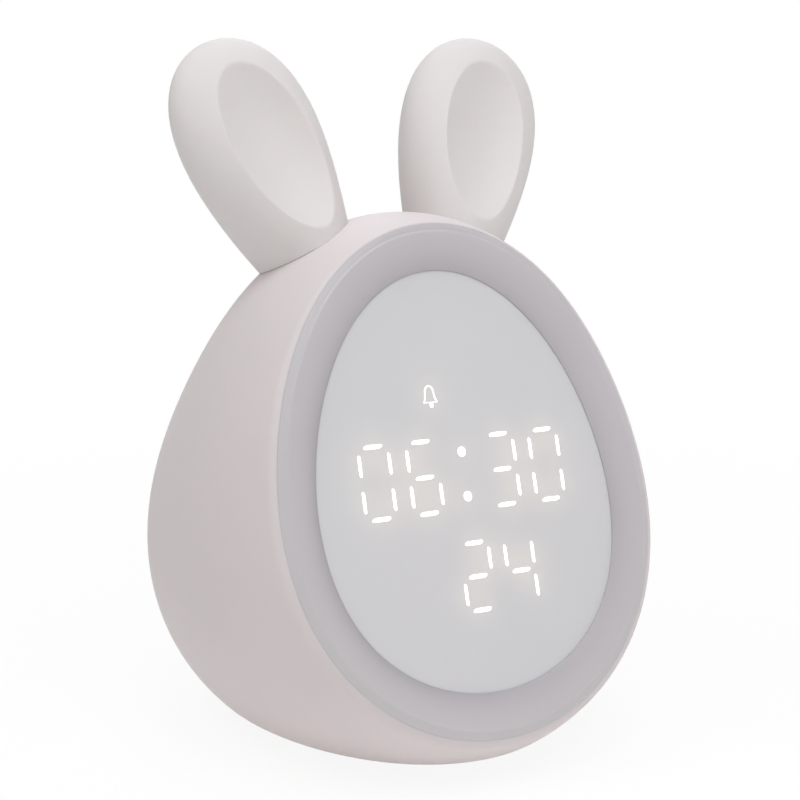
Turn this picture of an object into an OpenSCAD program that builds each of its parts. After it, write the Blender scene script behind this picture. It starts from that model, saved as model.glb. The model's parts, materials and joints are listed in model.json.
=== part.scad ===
// Bedside alarm clock with a night light: an egg-shaped body with two ears,
// a dished face ring that glows, and a display that shines through a milk-white plate.
// Millimetres. The clock stands on Z = 0, faces -Y and is symmetric about X = 0.

/* [Body] */
// Width of the whole egg, through its core
egg_w = 108.6; // [104:0.2:114]
// Depth of the whole egg before its front and back are cut off
egg_d = 144.2; // [138:0.2:150]
// Height of the whole egg before its foot is cut off
egg_h = 127.9; // [124:0.1:134]
// How much the egg narrows towards its top
egg_taper = 0.119; // [0.1:0.001:0.14]
// How much the egg's ends fill out
egg_fill = 0.011; // [0:0.001:0.04]
// How much the egg's crown rises and its foot draws in
egg_crown = 0.169; // [0.14:0.001:0.19]
// How much the egg leans forwards at its top
egg_lean = 0.1; // [0.06:0.01:0.12]
// How far the egg's core lies behind the middle of the clock
core_y = 5.6; // [4:0.1:8]
// Distance from the core down to the flat base of the body
base_drop = 51.9; // [50:0.1:53]
// Distance from the core forwards to the leaning face plane
face_reach = 38.9; // [37:0.1:41]
// Lean of the face, back from upright, in degrees
face_tilt = 19.7; // [17:0.1:22]
// Distance from the core back to the flat rear
rear_reach = 41.5; // [40:0.1:44]
// Softness of the body's edge at the top of the face
round_top = 3; // [2:0.5:4]
// Softness of the body's edge at the bottom of the face
round_bottom = 9; // [5:0.5:9]
// Softness of the body's rear edge at the top
round_rear = 8; // [5:0.5:8]
// Softness of the body's rear edge at the base
round_heel = 14; // [8:0.5:15]
// Softness of the body's edge around the base
round_base = 6; // [4:0.5:7]
// Wall of the body, measured towards its core
wall = 2.8; // [2.4:0.1:3.2]
// Width of the body's lip around the face ring
lip_w = 2; // [1.8:0.1:2.4]

/* [Foot pad] */
// Outer diameter of the rubber foot pad
pad_d = 44; // [40:1:46]
// Diameter of the hole in the middle of the foot pad
pad_hole_d = 26; // [22:1:30]
// Height by which the pad stands proud of the base
pad_proud = 1; // [0.8:0.1:1.4]
// Depth of the groove that the pad is glued into
pad_groove = 0.8; // [0.6:0.1:1]

/* [Face ring and display] */
// Clearance of the ring in the body's front opening
ring_gap = 0.15; // [0.1:0.05:0.2]
// Depth of the ring's seat below the face plane
ring_seat = 3.2; // [3:0.1:3.6]
// Width of the shelf that carries the ring
shelf_w = 2.2; // [2:0.1:2.6]
// Thickness of the shelf
shelf_t = 2; // [1.8:0.1:2.4]
// How far the ring falls from the face plane to the display
ring_drop = 1.8; // [1.4:0.1:2]
// Height of the ring's edge around the display
ring_edge = 0.7; // [0.6:0.1:0.9]
// Width of the ring at the sides of the display
ring_side_w = 7.4; // [7.2:0.1:7.8]
// Width of the ring above and below the display
ring_end_w = 8.3; // [8:0.1:8.8]
// How much the display narrows towards its top
display_taper = 0.131; // [0.11:0.001:0.15]
// How much the display's ends fill out
display_fill = 0.051; // [0.04:0.001:0.06]
// Thickness of the display plate
plate_t = 2; // [1.6:0.1:2.2]
// Width of the plate's edge that is hidden behind the ring
plate_lap = 2.7; // [2.5:0.1:2.8]
// Height of the light mask behind the plate
mask_h = 4.3; // [4:0.1:5]
// Thickness of the circuit boards
board_t = 1.6; // [1.2:0.1:1.8]

/* [Digits] */
// Width of a clock digit, between the middles of its strokes
digit_w = 7.1; // [6.4:0.1:7.4]
// Height of a clock digit, between the middles of its strokes
digit_h = 15.6; // [14.6:0.1:16.4]
// Distance between the two digits of a pair
digit_pitch = 11.35; // [11:0.05:11.8]
// Distance between the digits on both sides of the colon
colon_space = 19.3; // [18.5:0.1:20]
// Height of the clock digits above the middle of the face
digit_rise = 1.4; // [1:0.1:2]
// Width of a date digit
date_w = 6.8; // [6.2:0.1:7.2]
// Height of a date digit
date_h = 14.5; // [13.8:0.1:15]
// Distance of the first date digit from the middle of the face
date_x = -0.6; // [-1:0.1:0]
// Distance between the date digits
date_pitch = 10.85; // [10.4:0.05:11.2]
// Depth of the date digits below the middle of the face
date_fall = 21.1; // [20.6:0.1:21.6]
// Width of a stroke
stroke_w = 0.85; // [0.7:0.05:1]
// Gap between strokes that meet at a corner
stroke_gap = 3.2; // [2.8:0.1:3.4]
// Diameter of a colon dot
dot_d = 1.9; // [1.6:0.1:2.2]
// Distance between the two colon dots
dot_pitch = 9.8; // [9:0.1:10.4]

/* [Ears] */
// Width of an ear at its middle
ear_w = 28.6; // [27:0.2:30]
// Length of the egg that an ear is cut from
ear_l = 79.2; // [77:0.2:81]
// Thickness of an ear in front of its axis
ear_front_t = 13.8; // [12.5:0.1:14.5]
// Thickness of an ear behind its axis
ear_back_t = 15.2; // [13:0.1:16]
// How much an ear widens towards its tip
ear_taper = 0.74; // [0.65:0.01:0.8]
// How much the front of an ear thins towards its tip
ear_front_thin = 0.08; // [0.04:0.01:0.14]
// How much the back of an ear thins towards its tip
ear_back_thin = 0.2; // [0.1:0.01:0.25]
// How far an ear's ends bend forwards
ear_bend = 2.8; // [2:0.1:3.4]
// Splay of an ear to its side, in degrees
ear_splay = 19.5; // [17:0.1:21]
// Lean of an ear to the back, in degrees
ear_lean = 22.6; // [20:0.1:24]
// Distance of an ear's middle from the middle plane
ear_x = 23.3; // [23:0.1:24.5]
// Distance of an ear's middle behind the core
ear_behind = 10.7; // [10:0.1:12]
// Height of an ear's middle above the core
ear_rise = 70.2; // [69:0.1:72]
// Width of the dish in an ear
dish_w = 19.8; // [18:0.1:20.6]
// Length of the dish in an ear
dish_l = 42.4; // [39:0.2:43]
// Distance of the dish's middle above the ear's middle
dish_along = 10; // [9.5:0.1:11]
// How much the dish widens towards the ear's tip
dish_taper = 0.12; // [0.05:0.01:0.16]
// Depth of the dish
dish_deep = 6; // [4:0.5:7]
// Diameter of the spigot that locates an ear
spigot_d = 9; // [8:0.5:9.5]
// Clearance between an ear and the body
ear_gap = 0.15; // [0.1:0.05:0.2]

/* [Rear cover] */
// Width of the opening for the rear cover
cover_w = 72; // [71:0.5:73]
// Height of the opening for the rear cover
cover_h = 81; // [80:0.5:82]
// How much the rear cover narrows towards its top
cover_taper = 0.12; // [0.1:0.01:0.14]
// Height of the rear cover's middle below the core
cover_fall = 2; // [1.5:0.1:2.4]
// Thickness of the rear cover
cover_t = 2.4; // [2:0.1:2.6]
// How far the cover lies below the rear rim
cover_inset = 0.2; // [0.1:0.1:0.3]
// Clearance around the cover
cover_gap = 0.2; // [0.15:0.05:0.25]
// Width of the ledge that carries the cover
ledge_w = 3.5; // [3.2:0.1:3.8]
// Thickness of the ledge
ledge_t = 2; // [1.8:0.1:2.4]
// Depth of the cover's screw bosses below the ledge
boss_l = 12; // [10:1:14]
// Space between the cover and the main board
board_space = 8; // [7.6:0.1:8.6]

/* [Controls] */
// Diameter of a push button
button_d = 9.5; // [9:0.1:10]
// Running clearance around a push button
button_gap = 0.25; // [0.2:0.05:0.3]
// Height of a push button above the cover
button_proud = 1.2; // [1:0.1:1.6]
// Distance between push buttons, side to side
button_pitch = 15; // [14.6:0.1:15.2]
// Distance between the two rows of controls
row_pitch = 12.6; // [12.4:0.1:12.8]
// Travel of a push button
button_travel = 0.5; // [0.3:0.1:0.6]
// Width of the knob of the alarm switch
knob_w = 5; // [4.6:0.1:5.4]
// Travel of the knob of the alarm switch
knob_travel = 2.5; // [2:0.1:2.8]

/* [Speaker and battery] */
// Distance of the loudspeaker's middle below the top of the rear cover
speaker_down = 19.5; // [19:0.1:20]
// Diameter of the loudspeaker
speaker_d = 26; // [25:0.5:26.5]
// Length of the rechargeable cell
cell_l = 44; // [40:1:45]
// Width of the rechargeable cell
cell_w = 30; // [28:1:31]
// Thickness of the rechargeable cell
cell_t = 10; // [8:0.5:11]

/* [Hidden] */
$fn = 48;
eps = 0.01;
far = 10000;
body_colour = "#dcd6da";
ear_colour = "#d9d4d2";
ring_colour = "#bdb8be";
plate_colour = "#d2d2d6";
board_colour = "#2f6b45";
part_colour = "#34343a";
steel = "#b9bcc2";

// ---- The egg and its cuts ----
core = [0, core_y, base_drop + pad_proud];
face_n = [0, -cos(face_tilt), sin(face_tilt)];
face_v = [0, sin(face_tilt), cos(face_tilt)];
face_centre = core + face_reach * face_n;
rear_centre = core + [0, rear_reach, 0];
across = [1, 0, 0];
rearwards = [0, 1, 0];
upwards = [0, 0, 1];
steps = 60;
turn = 360 / steps;
search_steps = 24;
skin_rows = 16;
lining_rows = 10;
lining_front = 9;
lining_rear = 13;

function unit(p) = p / norm(p);
function mix(a, b, t) = (1 - t) * a + t * b;
function soft_min(a, b, k) = min(a, b) - pow(max(k - abs(a - b), 0), 2) / (4 * k);
function plane_reach(d, n, reach) = d * n > eps ? reach / (d * n) : far;

// Distance from the core to the whole egg, in direction d
function egg_reach(d) =
    (1 - egg_taper * d.z + egg_fill * pow(d.z, 2) + egg_crown * pow(d.z, 3) - egg_lean * d.y * d.z)
    / norm([2 * d.x / egg_w, 2 * d.y / egg_d, 2 * d.z / egg_h]);

// The egg with its foot cut flat
function footed_reach(d) = soft_min(egg_reach(d), plane_reach(d, -upwards, base_drop), round_base);

// How soft the face's edge is in direction d
function face_round(d) =
    mix(round_top, round_bottom, (1 - d * face_v / sqrt(max(eps, 1 - pow(d * face_n, 2)))) / 2);

// How soft the rear edge is in direction d
function rear_round(d) =
    mix(round_rear, round_heel, pow((1 - d.z / sqrt(max(eps, 1 - pow(d.y, 2)))) / 2, 2));

// Distance from the core to the outside of the body
function body_reach(d) =
    soft_min(soft_min(footed_reach(d), plane_reach(d, face_n, face_reach), face_round(d)),
        plane_reach(d, rearwards, rear_reach), rear_round(d));

function skin(d, depth = 0) = core + (body_reach(d) - depth) * d;

// Radius at which the footed egg crosses a cutting plane, at angle a around the plane's middle
function rim(centre, up, a, lo = 0, hi = egg_h, n = search_steps) =
    n == 0 ? lo
    : let (r = (lo + hi) / 2, p = centre + r * (cos(a) * across + sin(a) * up) - core)
        footed_reach(unit(p)) > norm(p) ? rim(centre, up, a, r, hi, n - 1)
        : rim(centre, up, a, lo, r, n - 1);

face_open = [for (i = [0 : steps - 1]) rim(face_centre, face_v, i * turn) - lip_w];

function face_point(r, i, w) =
    face_centre + r * (cos(i * turn) * across + sin(i * turn) * face_v) + w * face_n;
function face_radius(a) = rim(face_centre, face_v, a) - lip_w;
function cover_edge(a, grow) = [
    (cover_w / 2 + grow) * cos(a) * (1 - cover_taper * sin(a)), -cover_fall + (cover_h / 2 + grow) * sin(a)];
function rear_point(i, grow, depth) = let (p = cover_edge(i * turn, grow))
    rear_centre + p.x * across + p.y * upwards - depth * rearwards;

// Height at which the wall of the front opening meets the skin, from the face plane
function lip_search(i, lo = -round_bottom, hi = 0, n = search_steps) =
    n == 0 ? lo
    : let (m = (lo + hi) / 2, p = face_point(face_open[i], i, m) - core)
        body_reach(unit(p)) > norm(p) ? lip_search(i, m, hi, n - 1) : lip_search(i, lo, m, n - 1);
lip_height = [for (i = [0 : steps - 1]) lip_search(i)];

// Radius at which the underside of the ring's shelf meets the lining
function lining_radius(i, lo = 0, hi = egg_h, n = search_steps) =
    n == 0 ? lo
    : let (m = (lo + hi) / 2, p = face_point(m, i, -ring_seat - shelf_t) - core)
        body_reach(unit(p)) - wall > norm(p) ? lining_radius(i, m, hi, n - 1)
        : lining_radius(i, lo, m, n - 1);

// Directions of the two openings, and those at angle a on the way from front to rear
front_way = [for (i = [0 : steps - 1]) unit(face_point(face_open[i], i, lip_height[i]) - core)];
rear_way = [for (i = [0 : steps - 1]) unit(rear_point(i, 0, 0) - core)];
span = [for (i = [0 : steps - 1]) acos(front_way[i] * rear_way[i])];
function meridian(i, a) = (sin(span[i] - a) * front_way[i] + sin(a) * rear_way[i]) / sin(span[i]);

// ---- Meshes from rings of points ----
function band_faces(rows, cols, closed) = [
    for (j = [0 : rows - (closed ? 1 : 2)]) for (i = [0 : cols - 1])
        let (k = (j + 1) % rows, m = (i + 1) % cols,
             a = j * cols + i, b = j * cols + m, c = k * cols + m, d = k * cols + i)
        each [[a, b, c], [a, c, d]]];

// Rings that close on themselves, front to back and back to front
module loop_solid(rings) {
    polyhedron(points = [for (r = rings) each r],
        faces = band_faces(len(rings), len(rings[0]), true), convexity = 8);
}

// Rings between two end points
module capped_solid(first, rings, last) {
    cols = len(rings[0]);
    n = len(rings) * cols;
    polyhedron(points = concat([for (r = rings) each r], [first, last]),
        faces = concat(band_faces(len(rings), cols, false),
            [for (i = [0 : cols - 1]) [n, (i + 1) % cols, i]],
            [for (i = [0 : cols - 1]) [n + 1, n - cols + i, n - cols + (i + 1) % cols]]),
        convexity = 6);
}

// A round lead swept along a route
lead_sides = 8;
function route_tangent(p, i) = unit(p[min(i + 1, len(p) - 1)] - p[max(i - 1, 0)]);
function route_ring(p, i, r, up) =
    let (t = route_tangent(p, i), s = unit(cross(t, up)), q = cross(s, t))
    [for (k = [0 : lead_sides - 1]) p[i] + r * (cos(k * 360 / lead_sides) * s
        + sin(k * 360 / lead_sides) * q)];
module lead(p, r, up) {
    capped_solid(p[0], [for (i = [0 : len(p) - 1]) route_ring(p, i, r, up)], p[len(p) - 1]);
}

// ---- Working frames ----
// Children's Z points out of the face, X across it and Y up it
module on_face() {
    translate(face_centre) rotate([90 - face_tilt, 0, 0]) children();
}

// Children's Z points inwards from the outside of the rear cover, Y upwards
rear_y = core_y + rear_reach - cover_inset;
module on_rear() {
    translate([0, rear_y, core.z]) rotate([90, 0, 0]) children();
}

// A rod along Z between two heights
module rod(r, z0, z1) {
    translate([0, 0, z0]) cylinder(r = r, h = z1 - z0);
}

// A plate with round corners
module round_plate(w, h, r, t) {
    linear_extrude(t) round_outline(w, h, r);
}
module round_outline(w, h, r) {
    square([w - 2 * r, h], center = true);
    square([w, h - 2 * r], center = true);
    for (x = [-1, 1]) for (y = [-1, 1])
        translate([x * (w / 2 - r), y * (h / 2 - r)]) circle(r);
}

// Pan-head screw: its head's underside at Z = 0, its shank along +Z
screw_r = 0.9;
screw_head_r = 1.9;
screw_head_h = 1.3;
slot_w = 0.5;
slot_l = 2.2;
pilot_gap = 0.04;
module screw(l, r = screw_r, head_r = screw_head_r, head_h = screw_head_h) {
    difference() {
        union() {
            rod(r, -eps, l);
            rod(head_r, -head_h, 0);
        }
        for (a = [0, 90]) rotate([0, 0, a])
            translate([-slot_l / 2, -slot_w / 2, -head_h - eps]) cube([slot_l, slot_w, slot_w]);
    }
}

// ---- Body ----
skin_angles = [for (j = [0 : skin_rows]) (1 - cos(180 * j / skin_rows)) / 2];
ledge_depth = cover_inset + cover_t;

module body_blank() {
    outer = [for (s = skin_angles) [for (i = [0 : steps - 1]) skin(meridian(i, s * span[i]))]];
    rear_edge = [
        [for (i = [0 : steps - 1]) rear_point(i, 0, ledge_depth)],
        [for (i = [0 : steps - 1]) rear_point(i, -ledge_w, ledge_depth)],
        [for (i = [0 : steps - 1]) rear_point(i, -ledge_w, ledge_depth + ledge_t)]];
    lining = [for (j = [lining_rows : -1 : 0]) [for (i = [0 : steps - 1])
        skin(meridian(i, mix(lining_front, span[i] - lining_rear, j / lining_rows)), wall)]];
    front_edge = [
        [for (i = [0 : steps - 1]) face_point(lining_radius(i), i, -ring_seat - shelf_t)],
        [for (i = [0 : steps - 1]) face_point(face_open[i] - shelf_w, i, -ring_seat - shelf_t)],
        [for (i = [0 : steps - 1]) face_point(face_open[i] - shelf_w, i, -ring_seat)],
        [for (i = [0 : steps - 1]) face_point(face_open[i], i, -ring_seat)]];
    loop_solid(concat(outer, rear_edge, lining, front_edge));
}

cover_screw_angles = [35, 145, 215, 325];
cover_boss_r = 3.6;
cover_boss_in = 5.2;
cover_pilot_r = 1.25;
function cover_screw_place(a) = cover_edge(a, -cover_boss_in);

tray_screw_x = 18;
tray_screw_y = 12;
tray_boss_r = 3.5;
tray_z = pad_proud + 5;
tray_boss_z = pad_proud + 1.4;
tray_pilot_z = pad_proud + 1.6;

module body_shell() color(body_colour) difference() {
    union() {
        body_blank();
        on_rear() for (a = cover_screw_angles) translate(cover_screw_place(a))
            rod(cover_boss_r, cover_t, cover_t + ledge_t + boss_l);
        for (x = [-1, 1]) for (y = [-1, 1])
            translate([x * tray_screw_x, core_y + y * tray_screw_y, 0])
            rod(tray_boss_r, tray_boss_z, tray_z);
        for (side = [-1, 1]) at_ear_foot(side) rod(ear_boss_r, -ear_boss_z, -ear_boss_top);
    }
    on_rear() for (a = cover_screw_angles) translate(cover_screw_place(a))
        rod(cover_pilot_r, cover_t - eps, cover_t + boss_l);
    for (x = [-1, 1]) for (y = [-1, 1])
        translate([x * tray_screw_x, core_y + y * tray_screw_y, 0])
        rod(screw_r + pilot_gap, tray_pilot_z, tray_z + eps);
    for (side = [-1, 1]) at_ear_foot(side) rod(spigot_d / 2 + ear_gap, -ear_boss_z - eps, wall);
    translate([0, core_y, 0]) difference() {
        rod(pad_d / 2, pad_proud - eps, pad_proud + pad_groove);
        rod(pad_hole_d / 2, pad_proud - 2 * eps, pad_proud + pad_groove + eps);
    }
}

pad_fit = 0.1;
module foot_pad() color(part_colour) translate([0, core_y, 0]) difference() {
    rod(pad_d / 2 - pad_fit, 0, pad_proud + pad_groove);
    rod(pad_hole_d / 2 + pad_fit, -eps, pad_proud + pad_groove + eps);
}

// ---- Face ring and display ----
display_half_w = face_radius(0) - ring_side_w;
display_half_h = (face_radius(90) + face_radius(270)) / 2 - ring_end_w;
display_rise = (face_radius(90) - face_radius(270)) / 2;
function display_edge(a, grow) = [
    (display_half_w + grow) * cos(a) * (1 - display_taper * sin(a) + display_fill * pow(sin(a), 2)),
    display_rise + (display_half_h + grow) * sin(a)];
module display_outline(grow) {
    polygon([for (i = [0 : steps - 1]) display_edge(i * turn, grow)]);
}

dish_rows = 10;
dish_soft = 0.55;
seat_band = 3;
fence_w = 1.4;
fence_h = 2;
function dish_fall(q) = ring_drop * (dish_soft * pow(q, 2) + (1 - dish_soft) * (1 - sqrt(1 - pow(q, 2))));
function ring_edge_at(i) = let (r = face_open[i] - ring_gap) [r * cos(i * turn), r * sin(i * turn)];
function lift(p, z) = [p.x, p.y, z];
display_top = -ring_drop - ring_edge;
module ring_band() {
    ids = [0 : steps - 1];
    top = [for (j = [dish_rows : -1 : 0]) let (q = sin(90 * j / dish_rows)) [for (i = ids)
        lift(mix(ring_edge_at(i), display_edge(i * turn, 0), q), lip_height[i] * (1 - q) - dish_fall(q))]];
    under = [
        [for (i = ids) lift(ring_edge_at(i), -ring_seat)],
        [for (i = ids) lift(display_edge(i * turn, seat_band + fence_w), -ring_seat)],
        [for (i = ids) lift(display_edge(i * turn, seat_band + fence_w), display_top - fence_h)],
        [for (i = ids) lift(display_edge(i * turn, seat_band), display_top - fence_h)],
        [for (i = ids) lift(display_edge(i * turn, seat_band), display_top)],
        [for (i = ids) lift(display_edge(i * turn, 0), display_top)]];
    loop_solid(concat(top, under));
}

plate_z = display_top - plate_t;
mask_z = plate_z - mask_h;
board_z = mask_z - board_t;
post_angles = [45, 135, 225, 315];
post_in = 2.9;
post_r = 1.9;
post_fit = 0.2;
post_skin = 1;
function post_place(a) = display_edge(a, post_in);
clip_angles = [0, 60, 120, 180, 240, 300];
clip_w = 6;
clip_t = 1.4;
clip_gap = 0.2;
clip_hook = 1;
clip_hook_h = 1.4;
function face_edge(a) = face_radius(a) * [cos(a), sin(a)];
function heading(p) = atan2(p.y, p.x);
module clip(a) {
    z0 = -ring_seat - shelf_t - clip_gap;
    translate(face_edge(a)) rotate(heading(face_edge(a + 2) - face_edge(a - 2)) - 90)
        translate([-shelf_w - clip_gap - clip_t, -clip_w / 2, z0 - clip_hook_h]) {
            cube([clip_t, clip_w, clip_hook_h + clip_gap + shelf_t + clip_t]);
            cube([clip_t + clip_gap + clip_hook, clip_w, clip_hook_h]);
        }
}

module face_ring() color(ring_colour) on_face() difference() {
    union() {
        ring_band();
        for (a = post_angles) translate(post_place(a)) rod(post_r, mask_z, display_top + ring_edge / 2);
        for (a = clip_angles) clip(a);
    }
    for (a = post_angles) translate(post_place(a))
        rod(screw_r + pilot_gap, mask_z - eps, display_top - post_skin);
}

module display_plate() color(plate_colour) on_face() difference() {
    translate([0, 0, plate_z]) linear_extrude(plate_t) display_outline(plate_lap);
    for (a = post_angles) translate(post_place(a)) rod(post_r + post_fit, plate_z - eps, display_top + eps);
}

// ---- Digits ----
// Places of the seven strokes: [x, y, lies across]
strokes = [[0, 1, true], [0.5, 0.5, false], [0.5, -0.5, false], [0, -1, true],
    [-0.5, -0.5, false], [-0.5, 0.5, false], [0, 0, true]];
clock_x = [-colon_space / 2 - digit_pitch, -colon_space / 2, colon_space / 2,
    colon_space / 2 + digit_pitch];
date_digits = [date_x, date_x + date_pitch];
bell_place = [-5.7, 19.2];
bell_size = [3.1, 4.6];
led_size = [1.6, 0.8, 0.5];

module stroke_shape(l, w) {
    polygon([[-l / 2, 0], [-l / 2 + w / 2, w / 2], [l / 2 - w / 2, w / 2], [l / 2, 0],
        [l / 2 - w / 2, -w / 2], [-l / 2 + w / 2, -w / 2]]);
}
module each_stroke(w, h) {
    for (s = strokes) translate([s.x * w, s.y * h / 2]) rotate(s.z ? 0 : 90)
        children();
}
module each_digit() {
    for (x = clock_x) translate([x, digit_rise]) each_stroke(digit_w, digit_h) children();
    for (x = date_digits) translate([x, -date_fall]) each_stroke(date_w, date_h) children();
}
well_l = digit_h / 2 - stroke_gap;
well_w = 2 * stroke_w;
module each_dot() {
    for (y = [-1, 1]) translate([0, digit_rise + y * dot_pitch / 2]) children();
}

module segment_mask() color("white") on_face() difference() {
    translate([0, 0, mask_z]) linear_extrude(mask_h) display_outline(plate_lap - post_fit);
    for (a = post_angles) translate(post_place(a)) rod(post_r + post_fit, mask_z - eps, plate_z + eps);
    translate([0, 0, mask_z - eps]) linear_extrude(mask_h + 2 * eps) {
        each_digit() stroke_shape(well_l + well_w / 2, well_w);
        each_dot() circle(d = dot_d);
        translate(bell_place) square(bell_size, center = true);
    }
}

board_grow = 5;
hole_fit = 0.2;
module display_board() color(board_colour) on_face() translate([0, 0, board_z]) difference() {
    linear_extrude(board_t) display_outline(board_grow);
    for (a = post_angles) translate(post_place(a)) rod(screw_r + hole_fit, -eps, board_t + eps);
}

display_screw_l = 5;
module display_screws() color(steel) on_face() for (a = post_angles)
    translate(concat(post_place(a), board_z)) screw(display_screw_l);

module led() {
    translate([-led_size.x / 2, -led_size.y / 2, 0]) cube(led_size);
}
module segment_leds() color("white") on_face() translate([0, 0, mask_z]) {
    each_digit() led();
    each_dot() led();
    translate(bell_place) led();
}

glow_count = 24;
glow_in = 3.9;
glow_size = [3, 1.4, 0.9];
module night_light_leds() color("#f6e7b0") on_face() for (k = [0 : glow_count - 1]) {
    a = (k + 0.5) * 360 / glow_count;
    p = display_edge(a, glow_in);
    along = display_edge(a + 1, glow_in) - display_edge(a - 1, glow_in);
    translate([p.x, p.y, mask_z]) rotate(heading(along))
        translate([-glow_size.x / 2, -glow_size.y / 2, 0]) cube(glow_size);
}

driver_size = [10, 6.2, 1.5];
driver_place = [14, 12];
module display_driver() color(part_colour) on_face()
    translate([driver_place.x - driver_size.x / 2, driver_place.y - driver_size.y / 2, board_z - driver_size.z])
    cube(driver_size);

// ---- Ribbon between the two boards ----
ribbon_w = 12;
ribbon_t = 0.8;
ribbon_gap = 0.15;
socket_size = [15, 5, 3];
display_socket_y = -8;
socket_rise = -6;
board_y = rear_y - cover_t - board_space;
main_front_y = board_y - board_t;
function face_at(y, w) = face_centre + y * face_v + w * face_n;
ribbon_start = face_at(display_socket_y, board_z - socket_size.z - ribbon_gap);
ribbon_end = [0, main_front_y - socket_size.z, core.z + socket_rise];
ribbon_route = [[ribbon_start.y, ribbon_start.z],
    [ribbon_start.y + 5, ribbon_start.z - 3], [ribbon_start.y + 12, ribbon_start.z - 9],
    [ribbon_start.y + 20, ribbon_start.z - 14], [ribbon_end.y - 14, ribbon_end.z - 6],
    [ribbon_end.y - 6, ribbon_end.z - 1], [ribbon_end.y, ribbon_end.z]];

module display_socket() color("#e9e4d4") on_face()
    translate([-socket_size.x / 2, display_socket_y - socket_size.y / 2, board_z - socket_size.z])
    cube(socket_size);

module display_ribbon() color("#c9ccd2") translate([-ribbon_w / 2, 0, 0]) rotate([90, 0, 90])
    linear_extrude(ribbon_w) polygon(concat(
        [for (p = ribbon_route) p + [0, ribbon_t / 2]],
        [for (k = [len(ribbon_route) - 1 : -1 : 0]) ribbon_route[k] - [0, ribbon_t / 2]]));

// ---- Rear cover ----
first_row = -8;
button_x = [-button_pitch, 0, button_pitch];
second_row = first_row - row_pitch;
knob_place = [button_pitch, second_row];
usb_place = [0, -28.5];
speaker_place = [0, cover_h / 2 - cover_fall - speaker_down];
set_place = [button_x[1], first_row];
plus_place = [button_x[0], first_row];
minus_place = [button_x[2], first_row];
alarm_place = [button_x[0], second_row];
light_place = [button_x[1], second_row];
button_places = [set_place, plus_place, minus_place, alarm_place, light_place];

main_board_size = [42, 33];
main_board_middle = -14;
stand_edge_x = 2.4;
stand_edge_y = 2.2;
stand_r = 2.4;
speaker_wall_t = 1.2;
speaker_wall_h = 1;
speaker_fit = 0.2;
speaker_post_r = 2;
speaker_post_out = 2;
speaker_post_h = 1.2;
speaker_post_angles = [0, 180, 270];
grille_rings = [[0, 1], [4.2, 6], [8.2, 12]];
grille_hole_r = 1;
cover_head_r = 3;
cover_sink = 1.2;
cover_hole_r = 1.7;
usb_w = 8.94;
usb_h = 3.26;
usb_fit = 0.25;
knob_h = 3;
knob_gap = 0.3;
stand_pilot_l = 6;

module each_stand() {
    for (x = [-1, 1]) for (y = [-1, 1])
        translate([x * (main_board_size.x / 2 - stand_edge_x),
            main_board_middle + y * (main_board_size.y / 2 - stand_edge_y)]) children();
}
module each_speaker_post() {
    for (a = speaker_post_angles) translate(speaker_place
        + (speaker_d / 2 + speaker_post_out) * [cos(a), sin(a)]) children();
}
module stadium(w, h) {
    square([w - h, h], center = true);
    for (x = [-1, 1]) translate([x * (w - h) / 2, 0]) circle(d = h);
}
module cover_outline() {
    polygon([for (i = [0 : steps - 1]) cover_edge(i * turn, -cover_gap)]);
}

module rear_cover() color(body_colour) on_rear() difference() {
    union() {
        linear_extrude(cover_t) cover_outline();
        each_stand() rod(stand_r, cover_t - eps, cover_t + board_space);
        translate(speaker_place) difference() {
            rod(speaker_d / 2 + speaker_fit + speaker_wall_t, cover_t - eps, cover_t + speaker_wall_h);
            rod(speaker_d / 2 + speaker_fit, cover_t - 2 * eps, cover_t + speaker_wall_h + eps);
        }
        each_speaker_post() rod(speaker_post_r, cover_t - eps, cover_t + speaker_post_h);
    }
    for (a = cover_screw_angles) translate(cover_screw_place(a)) {
        rod(cover_hole_r, -eps, cover_t + eps);
        rod(cover_head_r + hole_fit, -eps, cover_sink);
    }
    for (p = button_places) translate(p) rod(button_d / 2 + button_gap, -eps, cover_t + eps);
    translate(speaker_place) for (g = grille_rings) for (k = [1 : g.y])
        rotate(k * 360 / g.y) translate([g.x, 0]) rod(grille_hole_r, -eps, cover_t + eps);
    translate([0, 0, -eps]) linear_extrude(cover_t + 2 * eps) {
        translate(usb_place) stadium(usb_w + 2 * usb_fit, usb_h + 2 * usb_fit);
        translate(knob_place) stadium(knob_w + knob_travel + 2 * knob_gap, knob_h + 2 * knob_gap);
    }
    each_stand() rod(screw_r + pilot_gap, cover_t + board_space - stand_pilot_l, cover_t + board_space + eps);
    each_speaker_post() rod(screw_r + pilot_gap, cover_t - speaker_post_h, cover_t + speaker_post_h + eps);
}

cover_screw_l = 9;
cover_shank_r = cover_pilot_r - pilot_gap;
module cover_screws() color(steel) on_rear() for (a = cover_screw_angles)
    translate(concat(cover_screw_place(a), cover_sink))
    screw(cover_screw_l, cover_shank_r, cover_head_r, cover_sink);

// ---- Main board and what sits on it ----
main_z = cover_t + board_space;
module main_board() color(board_colour) on_rear() translate([0, 0, main_z]) difference() {
    translate([0, main_board_middle]) round_plate(main_board_size.x, main_board_size.y, 2, board_t);
    each_stand() rod(screw_r + hole_fit, -eps, board_t + eps);
}
main_screw_l = 6;
module main_board_screws() color(steel) on_rear() each_stand()
    translate([0, 0, main_z + board_t]) mirror([0, 0, 1]) screw(main_screw_l);

chip_size = [9, 9, 1.4];
chip_place = [12, -18.5];
module processor() color(part_colour) on_rear()
    translate([chip_place.x - chip_size.x / 2, chip_place.y - chip_size.y / 2, main_z + board_t])
    cube(chip_size);

crystal_r = 1.5;
crystal_l = 6;
crystal_place = [-8, -22];
module clock_crystal() color(steel) on_rear()
    translate([crystal_place.x - crystal_l / 2, crystal_place.y, main_z + board_t + crystal_r])
    rotate([0, 90, 0]) cylinder(r = crystal_r, h = crystal_l);

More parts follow.
